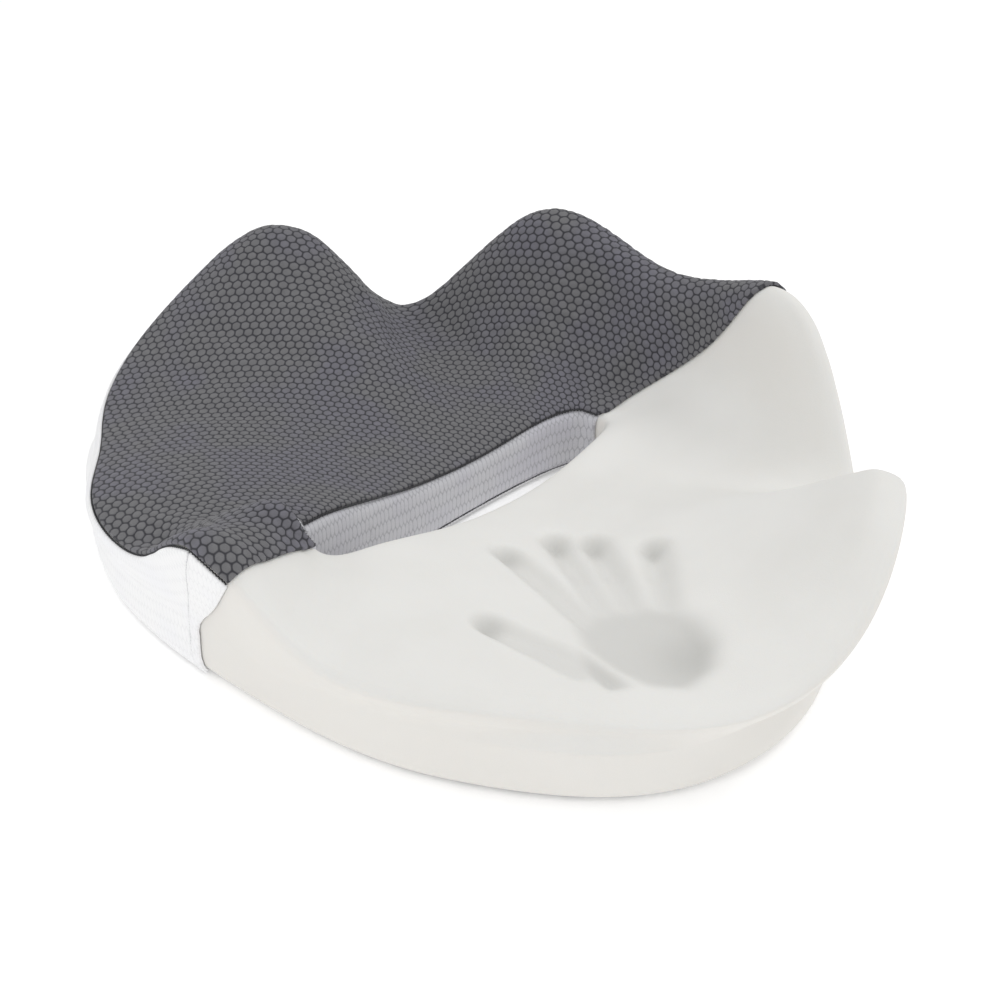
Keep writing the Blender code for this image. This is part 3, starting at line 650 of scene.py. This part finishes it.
def metal_material():
    """Plated zinc with brushing, worn brighter along edges."""
    n = Nodes("zip_metal", 0.3, 1.0)
    where = n.place()
    brush = n.noise(n.vector("MULTIPLY", where, (0.25, 0.25, 3.0)), 0.35, 3.0)
    wear = n.noise(where, 2.5, 4.0, 0.65)
    point = n.node("NewGeometry", {}, "Pointiness")
    colour = n.mix(n.scaled(wear, 0.4, 0.7), (0.52, 0.52, 0.54), (0.62, 0.62, 0.63))
    colour = n.mix(n.scaled(point, 0.50, 0.58, 0.0, 0.7), colour, (0.80, 0.79, 0.77))
    worn = n.scaled(wear, 0.45, 0.75, 0.0, 0.12)
    rough = n.math("ADD", n.scaled(brush, 0.3, 0.7, 0.22, 0.36), worn)
    return n.finish(colour, rough, n.bump(brush, 0.15, 0.04))


# ---- fabric sheets

def weave_uv(grid, turn):
    """Weave coordinates in mm: the sheet laid flat, turned to the grain."""
    count, rows = grid.shape[:2]
    faces = quads(count, rows)
    blank = bpy.data.materials.new("none")
    flat = new_object("flattening", grid.reshape(-1, 3), faces, blank, body=None)
    flat.data.uv_layers.new(name="laid")
    bpy.context.view_layer.objects.active = flat
    flat.select_set(True)
    bpy.ops.object.mode_set(mode="EDIT")
    bpy.ops.mesh.select_all(action="SELECT")
    bpy.ops.uv.unwrap(method="MINIMUM_STRETCH", margin=0.0)
    bpy.ops.object.mode_set(mode="OBJECT")
    mesh = flat.data
    corner = np.zeros(len(mesh.loops), dtype=np.int32)
    mesh.loops.foreach_get("vertex_index", corner)
    laid = np.zeros(len(mesh.loops) * 2, dtype=np.float32)
    mesh.uv_layers["laid"].data.foreach_get("uv", laid)
    uv = np.zeros((count * rows, 2))
    uv[corner] = laid.reshape(-1, 2)
    bpy.data.objects.remove(flat, do_unlink=True)
    points = grid.reshape(-1, 3)
    real = np.linalg.norm(np.cross(points[faces[:, 2]] - points[faces[:, 0]],
                                   points[faces[:, 3]] - points[faces[:, 1]]), axis=1).sum()
    a = uv[faces[:, 2]] - uv[faces[:, 0]]
    b = uv[faces[:, 3]] - uv[faces[:, 1]]
    signed = (a[:, 0] * b[:, 1] - a[:, 1] * b[:, 0]).sum()
    uv = (uv - uv.mean(axis=0)) * math.sqrt(real / abs(signed))
    plan = turn(points)
    plan = plan - plan.mean(axis=0)
    cross = plan.T @ uv
    left, _, right = np.linalg.svd(cross)
    return (uv @ (left @ right).T).reshape(count, rows, 2)


def plan_grain(points):
    """Plan coordinates turned so that the first runs along the rows of cells."""
    a = math.radians(KNIT_TURN)
    return np.stack([points[:, 0] * math.cos(a) + points[:, 1] * math.sin(a),
                     points[:, 1] * math.cos(a) - points[:, 0] * math.sin(a)], axis=1)


def wall_grain(points):
    """Distance run round the wall and height, for bands whose cells stand upright."""
    turn = np.unwrap(np.arctan2(points[:, 0], BAND_CENTRE - points[:, 1]))
    return np.stack([turn * BAND_RADIUS, points[:, 2]], axis=1)


def blown(name, grid, pinned, pressure, cap, start):
    """Cloth simulation of a sheet held at its pinned places; returns the moved grid.

    The sheet starts a little below its place, and no point ends more than the cap above it.
    """
    count, rows = grid.shape[:2]
    normal = grid_normals(grid)
    inner = np.minimum(np.minimum(np.arange(count)[:, None], np.arange(count)[::-1, None]),
                       np.minimum(np.arange(rows)[None], np.arange(rows)[::-1][None]))
    sink = start * np.clip(inner / 3.0, 0.0, 1.0)
    begun = grid - normal * sink[:, :, None]
    sheet = new_object(name + "_cloth", begun.reshape(-1, 3), quads(count, rows),
                       bpy.data.materials.new("none"), body=None)
    group = sheet.vertex_groups.new(name="held")
    group.add([int(i) for i in np.nonzero(pinned.reshape(-1))[0]], 1.0, "REPLACE")
    cloth = sheet.modifiers.new("cloth", "CLOTH")
    for key, value in CLOTH_SETTINGS.items():
        setattr(cloth.settings, key, value)
    cloth.settings.uniform_pressure_force = pressure
    cloth.settings.effector_weights.gravity = 0.0
    cloth.collision_settings.use_collision = False
    cloth.point_cache.frame_start = 1
    cloth.point_cache.frame_end = CLOTH_FRAMES
    for number in range(1, CLOTH_FRAMES + 1):
        bpy.context.scene.frame_set(number)
    evaluated = sheet.evaluated_get(bpy.context.evaluated_depsgraph_get())
    moved = np.zeros(count * rows * 3, dtype=np.float32)
    evaluated.data.vertices.foreach_get("co", moved)
    moved = moved.reshape(count, rows, 3).astype(float) / MM
    bpy.data.objects.remove(sheet, do_unlink=True)
    bpy.context.scene.frame_set(1)
    step = moved - begun
    length = np.linalg.norm(step, axis=2)
    print(name, "cloth moved up to", round(float(length.max()), 2), "mm")
    limit = (cap + start) / np.maximum(length, 1e-9)
    return begun + step * np.minimum(limit, 1.0)[:, :, None]


def cell_height(uv, pitch):
    """Height from 0 on the lines to 1 in the middle of the cells, as in the materials."""
    share = uv / np.array(pitch)
    found = []
    for shift in (0.0, 0.5):
        inside = np.abs((share + shift) % 1.0 - 0.5) * np.array([1.0, math.sqrt(3)])
        edge = np.maximum(inside[..., 0], 0.5 * inside[..., 0] + math.sqrt(3) / 2 * inside[..., 1])
        found.append(CELL_CORNERS * edge + np.linalg.norm(inside, axis=-1))
    near = np.clip((1.0 - np.minimum(found[0], found[1])) / CELL_SLOPE, 0.0, 1.0)
    return near * near * (3 - 2 * near)


def ripple(uv, edge, length, seed):
    """Puckers that run into a seam; edge is the distance from the seam."""
    rng = np.random.default_rng(seed)
    total = np.zeros(uv.shape[:-1])
    waves = 5
    for _ in range(waves):
        wave = length * rng.uniform(0.7, 1.6)
        turn = rng.uniform(-0.35, 0.35)
        phase = rng.uniform(0.0, 2 * np.pi)
        run = uv[..., 0] * np.cos(turn) + uv[..., 1] * np.sin(turn)
        total += np.sin(2 * np.pi * run / wave + phase)
    return total / waves * np.exp(-(edge / (1.6 * length))**2)


def lining_tuck(edge):
    """How far the lining's edges sink, against the distance from them."""
    return -LINING_TUCK * np.clip(1.0 - edge / LINING_TUCK_WIDTH, 0.0, 1.0)**2


class Sheet:
    """One fabric panel: its region of the sweep, its simulated shape and its fine surface."""

    def __init__(self, node, sweep, normals, grain, pressure, cap, start=0.5):
        outer = sweep + normals * PANEL_OUTER
        self.node = node
        self.stations, self.rows, self.cells = region(node, outer)
        coarse = outer[np.ix_(self.stations % STATIONS, self.rows)]
        self.knots = (chord_knots(coarse, 0), chord_knots(coarse, 1))
        self.middle = (divided(self.knots[0], CLOTH_STEP), divided(self.knots[1], CLOTH_STEP))
        grid = resampled(coarse, *self.middle, self.knots)
        there = self.cells_at(*self.middle)
        pinned = np.zeros(grid.shape[:2], dtype=bool)
        pinned[0] = pinned[-1] = True
        pinned[:, 0] = pinned[:, -1] = True
        for along in (slice(None, -1), slice(1, None)):
            for up in (slice(None, -1), slice(1, None)):
                pinned[along, up] |= ~there
        self.uv = weave_uv(grid, grain)
        self.grid = blown(node, grid, pinned, pressure, cap, start)

    def cells_at(self, along, up):
        """Which cells of a finer grid belong to the panel."""
        c = np.searchsorted(self.knots[0], (along[1:] + along[:-1]) / 2) - 1
        r = np.searchsorted(self.knots[1], (up[1:] + up[:-1]) / 2) - 1
        return self.cells[np.ix_(c, r)]

    def fine(self, step):
        """Fine grid, weave coordinates, kept cells and distance from the seams."""
        along = divided(self.knots[0], step)
        up = divided(self.knots[1], step)
        grid = resampled(self.grid, along, up, self.middle)
        uv = resampled(self.uv, along, up, self.middle)
        edge = np.tile(np.minimum(up - up[0], up[-1] - up), (len(along), 1))
        return grid, uv, self.cells_at(along, up), edge

    def build(self, name, material, slot, step, pitch, relief, pucker, length, seed, extra=None):
        """Make the visible piece: cells in relief, puckers at the seams, edges turned down."""
        grid, uv, keep, edge = self.fine(step)
        normal = grid_normals(grid)
        lift = relief * (cell_height(uv, pitch) - RELIEF_ZERO)
        lift += pucker * ripple(uv, edge, length, seed)
        lift *= SEAM_RELIEF + (1 - SEAM_RELIEF) * np.clip(edge / SEAM_CALM, 0.0, 1.0)
        if extra is not None:
            lift += extra(edge)
        points = (grid + normal * lift[:, :, None]).reshape(-1, 3)
        faces = quads(*grid.shape[:2], keep)
        used, faces = np.unique(faces, return_inverse=True)
        faces = faces.reshape(-1, 4)
        points = points[used]
        flat = normal.reshape(-1, 3)[used]
        uv = uv.reshape(-1, 2)[used]
        points, faces, ring = add_hem(points, flat, faces, HEM_DEPTHS, HEM_SPREAD)
        uv = np.concatenate([uv] + [uv[ring]] * len(HEM_DEPTHS))
        return new_object(name, points, faces, material, replaces=(self.node,), uv=uv)


# ---- foam

def capsule_depth(x, y, finger):
    """Depth pressed by one finger, and the shade painted into its hollow, most under its tip."""
    (rx, ry), (tx, ty), root, tip, root_depth, tip_depth = finger
    length = math.hypot(tx - rx, ty - ry)
    ux = (tx - rx) / length
    uy = (ty - ry) / length
    run = np.clip(((x - rx) * ux + (y - ry) * uy) / length, 0.0, 1.0)
    apart = np.hypot(x - rx - run * length * ux, y - ry - run * length * uy)
    radius = root + (tip - root) * run
    depth = root_depth + (tip_depth - root_depth) * run
    knuckles = 0.22 * np.exp(-((run - 0.45) / 0.1)**2) + 0.15 * np.exp(-((run - 0.75) / 0.07)**2)
    depth = depth * (1.0 - knuckles)
    inside = np.clip((radius + PRINT_EDGE * 0.4 - apart) / PRINT_EDGE, 0.0, 1.0)
    inside = inside * inside * (3 - 2 * inside)
    shade = FINGER_PAINTED_SHADE + (1 - FINGER_PAINTED_SHADE) * np.clip((run - 0.86) / 0.14, 0.0, 1.0)
    return depth * inside, inside * shade


def outline_distance(x, y, outline):
    """Signed distance from a closed outline, negative inside it."""
    nearest = np.full_like(x, 1e9)
    inside = np.zeros(x.shape, dtype=bool)
    for (ax, ay), (bx, by) in zip(outline, outline[1:] + outline[:1]):
        length = (bx - ax)**2 + (by - ay)**2
        run = np.clip(((x - ax) * (bx - ax) + (y - ay) * (by - ay)) / length, 0.0, 1.0)
        apart = np.hypot(x - ax - run * (bx - ax), y - ay - run * (by - ay))
        nearest = np.minimum(nearest, apart)
        if ay != by:
            crosses = (ay > y) != (by > y)
            inside ^= crosses & (x < ax + (y - ay) * (bx - ax) / (by - ay))
    return np.where(inside, -nearest, nearest)


def pressed(distance, depth, edge):
    """Depth of a hollow that fades out over its edge."""
    inside = np.clip(0.5 - distance / (2 * edge), 0.0, 1.0)
    return depth * inside * inside * (3 - 2 * inside)


def print_depth(x, y):
    """How far the hand has sunk the foam at each plan point, and how much shade is painted there."""
    depth = np.zeros_like(x)
    shade = np.zeros_like(x)
    for finger in FINGERS:
        sunk, finger_painted_shade = capsule_depth(x, y, finger)
        depth = np.maximum(depth, sunk)
        shade = np.maximum(shade, finger_painted_shade)
    palm = outline_distance(x, y, PALM)
    heel = np.exp(-((x - HEEL[0])**2 + (y - HEEL[1])**2) / HEEL_SPREAD**2)
    thumb = outline_distance(x, y, THUMB_BASE)
    # Painted shade over the palm, darkest at the heel.
    palm_shade = PALM_PAINTED_SHADE + (1 - PALM_PAINTED_SHADE) * heel
    depth = np.maximum(depth, pressed(palm, PALM_DEPTH + HEEL_DEPTH * heel, PRINT_EDGE))
    depth = np.maximum(depth, pressed(thumb, THUMB_BASE_DEPTH, PRINT_EDGE * 0.6))
    shade = np.maximum(shade, pressed(palm, palm_shade, PRINT_EDGE * 0.6))
    shade = np.maximum(shade, pressed(thumb, THUMB_PAINTED_SHADE, PRINT_EDGE * 0.3))
    return depth, shade


def softened(values, rounds):
    """Grid values averaged with their neighbours a few times."""
    for _ in range(rounds):
        values = (values + np.roll(values, 1, 0) + np.roll(values, -1, 0)
                  + np.roll(values, 1, 1) + np.roll(values, -1, 1)) / 5
    return values


def build_foam(sweep, material):
    """The bare foam: the smoothed sweep, finer where the hand print is, with a flat underside and painted
    shade in the print's hollows.
    """
    count = sweep.shape[0]
    closed = sweep[np.r_[-2:count + 3] % count]
    knots = (chord_knots(closed, 0), chord_knots(closed, 1))
    knots = (knots[0] - knots[0][2], knots[1])
    own = knots[0][2:count + 3]
    fine = divided(own, BARE_STEP)
    rough = divided(own, COVERED_STEP)
    bare = own[list(BARE)]
    along = np.unique(np.concatenate([fine[(fine >= bare[0]) & (fine <= bare[1])],
                                      rough[(rough < bare[0]) | (rough > bare[1])]]))[:-1]
    up = divided(knots[1], FOAM_STEP)
    grid = resampled(closed, along, up, knots)
    normal = grid_normals(grid)
    outside = np.maximum(bare[0] - along, along - bare[1])
    covered = np.clip(np.minimum(outside, own[-1] - bare[1] + along) / COVER_EASE, 0.0, 1.0)
    grid -= normal * (COVERED_SINK * covered)[:, None, None]
    seat = np.clip((normal[:, :, 2] - 0.3) / 0.3, 0.0, 1.0)
    depth, shade = print_depth(grid[:, :, 0], grid[:, :, 1])
    grid[:, :, 2] -= softened(depth * seat, PRINT_SOFTENING)
    shade = softened(shade * seat, PRINT_SOFTENING)
    faces = quads(len(along), len(up), closed=(True, True))
    body = new_object("foam_body", grid.reshape(-1, 3), faces, material, replaces=("foam_core",))
    # The print's painted shade goes into the foam's colour through this attribute.
    layer = body.data.attributes.new("pressed", "FLOAT", "POINT")
    layer.data.foreach_set("value", shade.astype(np.float32).ravel())
    return body


# ---- threads and zip

def seam_path(low, high):
    """Line half way from each point of one panel's edge to the nearest point of the other's."""
    apart = np.linalg.norm(high[:, None] - low[None], axis=2)
    return (high + low[np.argmin(apart, axis=1)]) / 2


def coil_path(path, normal, radius, pitch, squeeze):
    """Thread wound round a path, flattened along the normal by squeeze."""
    run = np.concatenate([[0.0], np.cumsum(np.linalg.norm(np.diff(path, axis=0), axis=1))])
    count = int(run[-1] / pitch * 9)
    at = np.linspace(0.0, run[-1], count)
    centre = np.stack([np.interp(at, run, path[:, k]) for k in range(3)], axis=1)
    up = np.stack([np.interp(at, run, normal[:, k]) for k in range(3)], axis=1)
    up /= np.linalg.norm(up, axis=1)[:, None]
    along = np.gradient(centre, axis=0)
    along /= np.linalg.norm(along, axis=1)[:, None]
    side = np.cross(along, up)
    turn = 2 * np.pi * at / pitch
    return centre + radius * (np.cos(turn)[:, None] * side + squeeze * np.sin(turn)[:, None] * up)


def even(line, count):
    """A line resampled at even steps along its length."""
    run = np.concatenate([[0.0], np.cumsum(np.linalg.norm(np.diff(line, axis=0), axis=1))])
    at = np.linspace(0.0, run[-1], count)
    return np.stack([np.interp(at, run, line[:, k]) for k in range(3)], axis=1)


def build_seam(name, node, low, high, normal, material, radius, pitch, sink):
    """Overlock thread wound along the seam between two panel edges, sunk between them."""
    normal = normal / np.linalg.norm(normal, axis=1)[:, None]
    path = seam_path(low, high) - normal * sink
    wound = coil_path(path, normal, radius, pitch, 0.8)
    core = tube(path, radius * 0.7, 5)
    points, faces = joined([tube(wound, THREAD_WIRE, 5), core])
    return new_object(name, points, faces, material, replaces=(node,))


def build_seams(top, side, front, lining, dark, white):
    """Every seam's thread, from the simulated edges of the panels."""
    sheets = [sheet.fine(CLOTH_STEP)[0] for sheet in (top, side, front, lining)]
    top, side, front, lining = sheets
    top_out, side_out, front_out, lining_out = [grid_normals(grid) for grid in sheets]
    rim = np.concatenate([side[:, 0], front[:, 0]])
    foot = even(np.concatenate([side[:, -1], front[:, -1]]), 400)
    foot_out = even(np.concatenate([side_out[:, -1], front_out[:, -1]]), 400)
    slot_foot = even(lining[:, 0], 400)
    build_seam("rim_seam", "rim_seam_thread", even(rim, 3200), even(top[:, -1], 800),
               even(top_out[:, -1], 800), dark, 0.4, 1.9, 1.1)
    build_seam("slot_seam", "slot_seam_thread", even(lining[:, -1], 1600), even(top[:, 0], 400),
               even(top_out[:, 0], 400), dark, 0.6, 1.9, 0.9)
    build_seam("front_seam", "front_seam_thread", even(side[-1], 120), even(front[0], 120),
               even(side_out[-1], 120), white, 0.4, 1.9, 0.75)
    build_seam("base_seam", "base_seam_thread", foot, foot, foot_out,
               white, 0.5, 2.2, 0.75)
    build_seam("slot_foot_seam", "slot_foot_thread", slot_foot, slot_foot,
               even(lining_out[:, 0], 400), white, 0.5, 2.2, 0.75)


def arc_point(centre, theta, radius, height):
    """Place round the zip's circle; theta from the front."""
    return np.array([centre[0] + radius * np.sin(theta), centre[1] - radius * np.cos(theta), height])


def zip_circle():
    """Centre, radius, first and last angle of the zip's coils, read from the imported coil."""
    joint = [j for j in frame["joints"] if j["name"] == "slider_travel"][0]
    centre = np.array(joint["pos_m"]) / MM
    points = welded("zip_coil_upper")[0]
    out = points[:, :2] - centre[:2]
    radius = np.linalg.norm(out, axis=1)
    theta = np.arctan2(out[:, 0], -out[:, 1])
    theta = np.where(theta > 0, theta - 2 * np.pi, theta)
    return centre, radius.min(), radius.max(), theta.min(), theta.max()


def build_zip(nylon, white_yarn):
    """Spiral coils and single stitches."""
    centre, inner, outer, first, last = zip_circle()
    middle = centre[2]
    for name, up in (("zip_coil_upper", 1), ("zip_coil_lower", -1)):
        low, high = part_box(name)
        z_far = (high[2] if up > 0 else low[2]) / MM
        reach = abs(z_far - middle)
        turns = (last - first) * outer / COIL_PITCH
        t = np.linspace(0.0, turns, int(turns * 12))
        theta = first + (last - first) * t / turns
        swing = 2 * np.pi * (t + (0.5 if up < 0 else 0.0))
        radial = (inner + outer) / 2 + COIL_SWING * np.cos(swing)
        height = middle + up * (reach / 2 + 0.15 - (reach / 2 + 0.05) * np.sin(swing))
        points, faces = tube(arc_point(centre, theta, radial, height).T, COIL_WIRE, 6)
        new_object(name + "_wound", points, faces, nylon, replaces=(name,))
    for name in ("zip_stitch_upper", "zip_stitch_lower"):
        low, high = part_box(name)
        height = (low[2] + high[2]) / 2 / MM
        stitches = []
        length = STITCH_LENGTH / outer
        gap = STITCH_GAP / outer
        theta = first
        while theta + length < last:
            ends = np.linspace(theta, theta + length, 7)
            dip = np.sin(np.linspace(0.0, np.pi, 7))
            path = [arc_point(centre, a, inner + 0.9 + 0.75 * d, height) for a, d in zip(ends, dip)]
            stitches.append(tube(path, STITCH_WIRE, 6))
            theta += length + gap
        points, faces = joined(stitches)
        new_object(name + "_row", points, faces, white_yarn, replaces=(name,))


def dress(node, material):
    """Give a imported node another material."""
    materials = frame["nodes"][node].data.materials
    materials.clear()
    materials.append(material)


def round_edges(node, width):
    """Soften a packed metal piece's edges with a bevel."""
    item = frame["nodes"][node]
    weld = item.modifiers.new("weld", "WELD")
    weld.merge_threshold = 0.000005
    bevel = item.modifiers.new("edges", "BEVEL")
    bevel.width = width * MM
    bevel.segments = 3
    bevel.limit_method = "ANGLE"
    bevel.angle_limit = math.radians(35)
    bevel.use_clamp_overlap = True


# ---- base

def build_base(cloth, rubber):
    """Base cloth with rows of grip dots under it."""
    points, triangles = welded("base_panel")
    low = points[:, 2].min()
    raised = points.copy()
    raised[:, 2] = np.where(points[:, 2] < low + 0.5, low + GRIP_HEIGHT, points[:, 2])
    new_object("base_cloth", raised, [tuple(int(i) for i in t) for t in triangles], cloth,
               replaces=("base_panel",)).data.shade_flat()
    outline = outline_radius(points[points[:, 2] < low + 0.5][:, :2])
    slot_low, slot_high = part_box("slot_lining")
    slot_rear = slot_high[1] / MM + GRIP_MARGIN
    slot_front = slot_low[1] / MM - GRIP_MARGIN
    dots = []
    for j, y in enumerate(np.arange(-200.0, 200.0, GRIP_PITCH * math.sqrt(3) / 2)):
        for x in np.arange(-240.0, 240.0, GRIP_PITCH) + (GRIP_PITCH / 2 if j % 2 else 0.0):
            inside = math.hypot(x, y) <= outline(math.atan2(y, x)) - GRIP_MARGIN
            by_slot = abs(x) < GRIP_SLOT_SIDE and slot_front < y < slot_rear
            if inside and not by_slot:
                dots.append(dot(x, y, low, GRIP_RADIUS))
    points, faces = joined(dots)
    new_object("base_grip_dots", points, faces, rubber)


def outline_radius(flat):
    """Radius of the base's outer edge against the plan angle."""
    angle = np.arctan2(flat[:, 1], flat[:, 0])
    radius = np.hypot(flat[:, 0], flat[:, 1])
    outer = radius > 130.0
    order = np.argsort(angle[outer])
    angle = angle[outer][order]
    radius = radius[outer][order]
    return lambda a: float(np.interp(a, angle, radius, period=2 * math.pi))


def dot(x, y, low, radius):
    """Small dome that hangs from the base cloth."""
    rings = ((1.0, 0.75), (0.92, 0.3), (0.6, 0.06), (0.0, 0.0))
    sides = 8
    points = []
    for share, height in rings[:-1]:
        for k in range(sides):
            turn = 2 * math.pi * k / sides
            reach = radius * share
            points.append((x + reach * math.cos(turn), y + reach * math.sin(turn), low + height))
    points.append((x, y, low))
    last = (len(rings) - 2) * sides
    tip = [(last + k, last + sides, last + (k + 1) % sides) for k in range(sides)]
    return np.array(points), ring_faces(len(rings) - 1, sides) + tip + [tuple(range(sides))]


# ---- studio

def build_stage():
    """Pale floor, soft light and the camera."""
    n = Nodes("floor", 0.9)
    tone = n.scaled(n.noise(n.place(), 300.0), 0.3, 0.7)
    glow = {"Emission Color": (1.0, 1.0, 1.0), "Emission Strength": FLOOR_GLOW}
    n.finish(n.mix(tone, (0.90, 0.90, 0.90), (0.92, 0.92, 0.92)),
             others={**glow, "Specular IOR Level": 0.0})
    corners = [(x * FLOOR_HALF, y * FLOOR_HALF, FLOOR_DROP) for x, y in ((-1, -1), (1, -1), (1, 1), (-1, 1))]
    new_object("floor", corners, [(0, 1, 2, 3)], n.material, body=None)

    world = bpy.data.worlds.new("studio")
    world.use_nodes = True
    tree = world.node_tree
    tree.nodes["Background"].inputs["Color"].default_value = (1.0, 1.0, 1.0, 1.0)
    seen = tree.nodes.new("ShaderNodeLightPath")
    strength = tree.nodes.new("ShaderNodeMapRange")
    strength.inputs["To Min"].default_value = SKY_LIGHT
    strength.inputs["To Max"].default_value = SKY_SEEN
    tree.links.new(seen.outputs["Is Camera Ray"], strength.inputs["Value"])
    tree.links.new(strength.outputs["Result"], tree.nodes["Background"].inputs["Strength"])
    bpy.context.scene.world = world
    for name, place, size, power in LIGHTS:
        data = bpy.data.lights.new(name, "AREA")
        data.shape = "DISK"
        data.size = size
        data.energy = power
        lamp = bpy.data.objects.new(name, data)
        lamp.location = place
        lamp.rotation_euler = (-Vector(place)).to_track_quat("-Z", "Y").to_euler()
        bpy.context.scene.collection.objects.link(lamp)

    a = math.radians(CAMERA_AZIMUTH)
    e = math.radians(CAMERA_ELEVATION)
    r = math.radians(CAMERA_ROLL)
    back = Vector((math.sin(a) * math.cos(e), -math.cos(a) * math.cos(e), math.sin(e)))
    right = Vector((math.cos(a), math.sin(a), 0.0))
    up = back.cross(right)
    turned = Matrix((right * math.cos(r) + up * math.sin(r),
                     up * math.cos(r) - right * math.sin(r), back)).transposed()
    data = bpy.data.cameras.new("camera")
    data.lens = CAMERA_LENS
    data.shift_x, data.shift_y = CAMERA_SHIFT
    data.clip_start = 0.05
    camera = bpy.data.objects.new("camera", data)
    camera.matrix_world = Matrix.Translation(Vector((0, 0, CAMERA_HEIGHT * MM))
                                             + back * CAMERA_DISTANCE * MM) @ turned.to_4x4()
    bpy.context.scene.collection.objects.link(camera)
    bpy.context.scene.camera = camera
    bpy.context.scene.view_settings.view_transform = "Standard"


# ---- the whole object

def main():
    foam = foam_material()
    knit = knit_material()
    white = mesh_material("white_mesh", (0.96, 0.96, 0.962), (0.86, 0.86, 0.87),
                          (0.94, 0.94, 0.96))
    grey = mesh_material("grey_mesh", (0.66, 0.66, 0.69), (0.38, 0.38, 0.41),
                         (0.62, 0.615, 0.67))
    dark_yarn = yarn_material("dark_thread", (0.05, 0.05, 0.055), (0.015, 0.015, 0.018))
    white_yarn = yarn_material("white_thread", (0.86, 0.86, 0.87), (0.66, 0.66, 0.68))
    tape = woven_material("zip_tape", (0.82, 0.82, 0.83), (0.60, 0.60, 0.62), 0.55)
    cloth = woven_material("base_cloth", (0.055, 0.055, 0.06), (0.018, 0.018, 0.02), 0.8)
    metal = metal_material()

    sweep = read_sweep()
    normals = sweep_normals(sweep)
    build_foam(sweep, foam)

    top = Sheet("top_panel", sweep, normals, plan_grain, 4.0, 1.0)
    side = Sheet("side_band", sweep, normals, wall_grain, 4.0, 2.0)
    front = Sheet("side_band_front_end", sweep, normals, wall_grain, 2.0, 0.6)
    lining = Sheet("slot_lining", sweep, normals, wall_grain, 2.0, 0.8)
    top.build("knit_top", knit, "dark_knit", KNIT_STEP, KNIT_PITCH, KNIT_RELIEF, 0.15, 9.0, 3)
    mesh = (MESH_STEP, MESH_PITCH, MESH_RELIEF)
    side.build("side_mesh", white, "white_mesh", *mesh, 0.3, 8.0, 5)
    front.build("front_mesh", white, "white_mesh", *mesh, 0.2, 8.0, 7)
    lining.build("lining_mesh", grey, "grey_mesh", *mesh, 0.35, 6.0, 9, lining_tuck)
    build_seams(top, side, front, lining, dark_yarn, white_yarn)
    build_zip(nylon_material(), white_yarn)
    build_base(cloth, rubber_material())
    for node in ("zip_tape_upper", "zip_tape_lower"):
        dress(node, tape)
    for node in ("zip_top_stop", "zip_bottom_stop", "zip_slider", "zip_pull_tab"):
        dress(node, metal)
        round_edges(node, METAL_BEVEL)
    build_stage()


main()
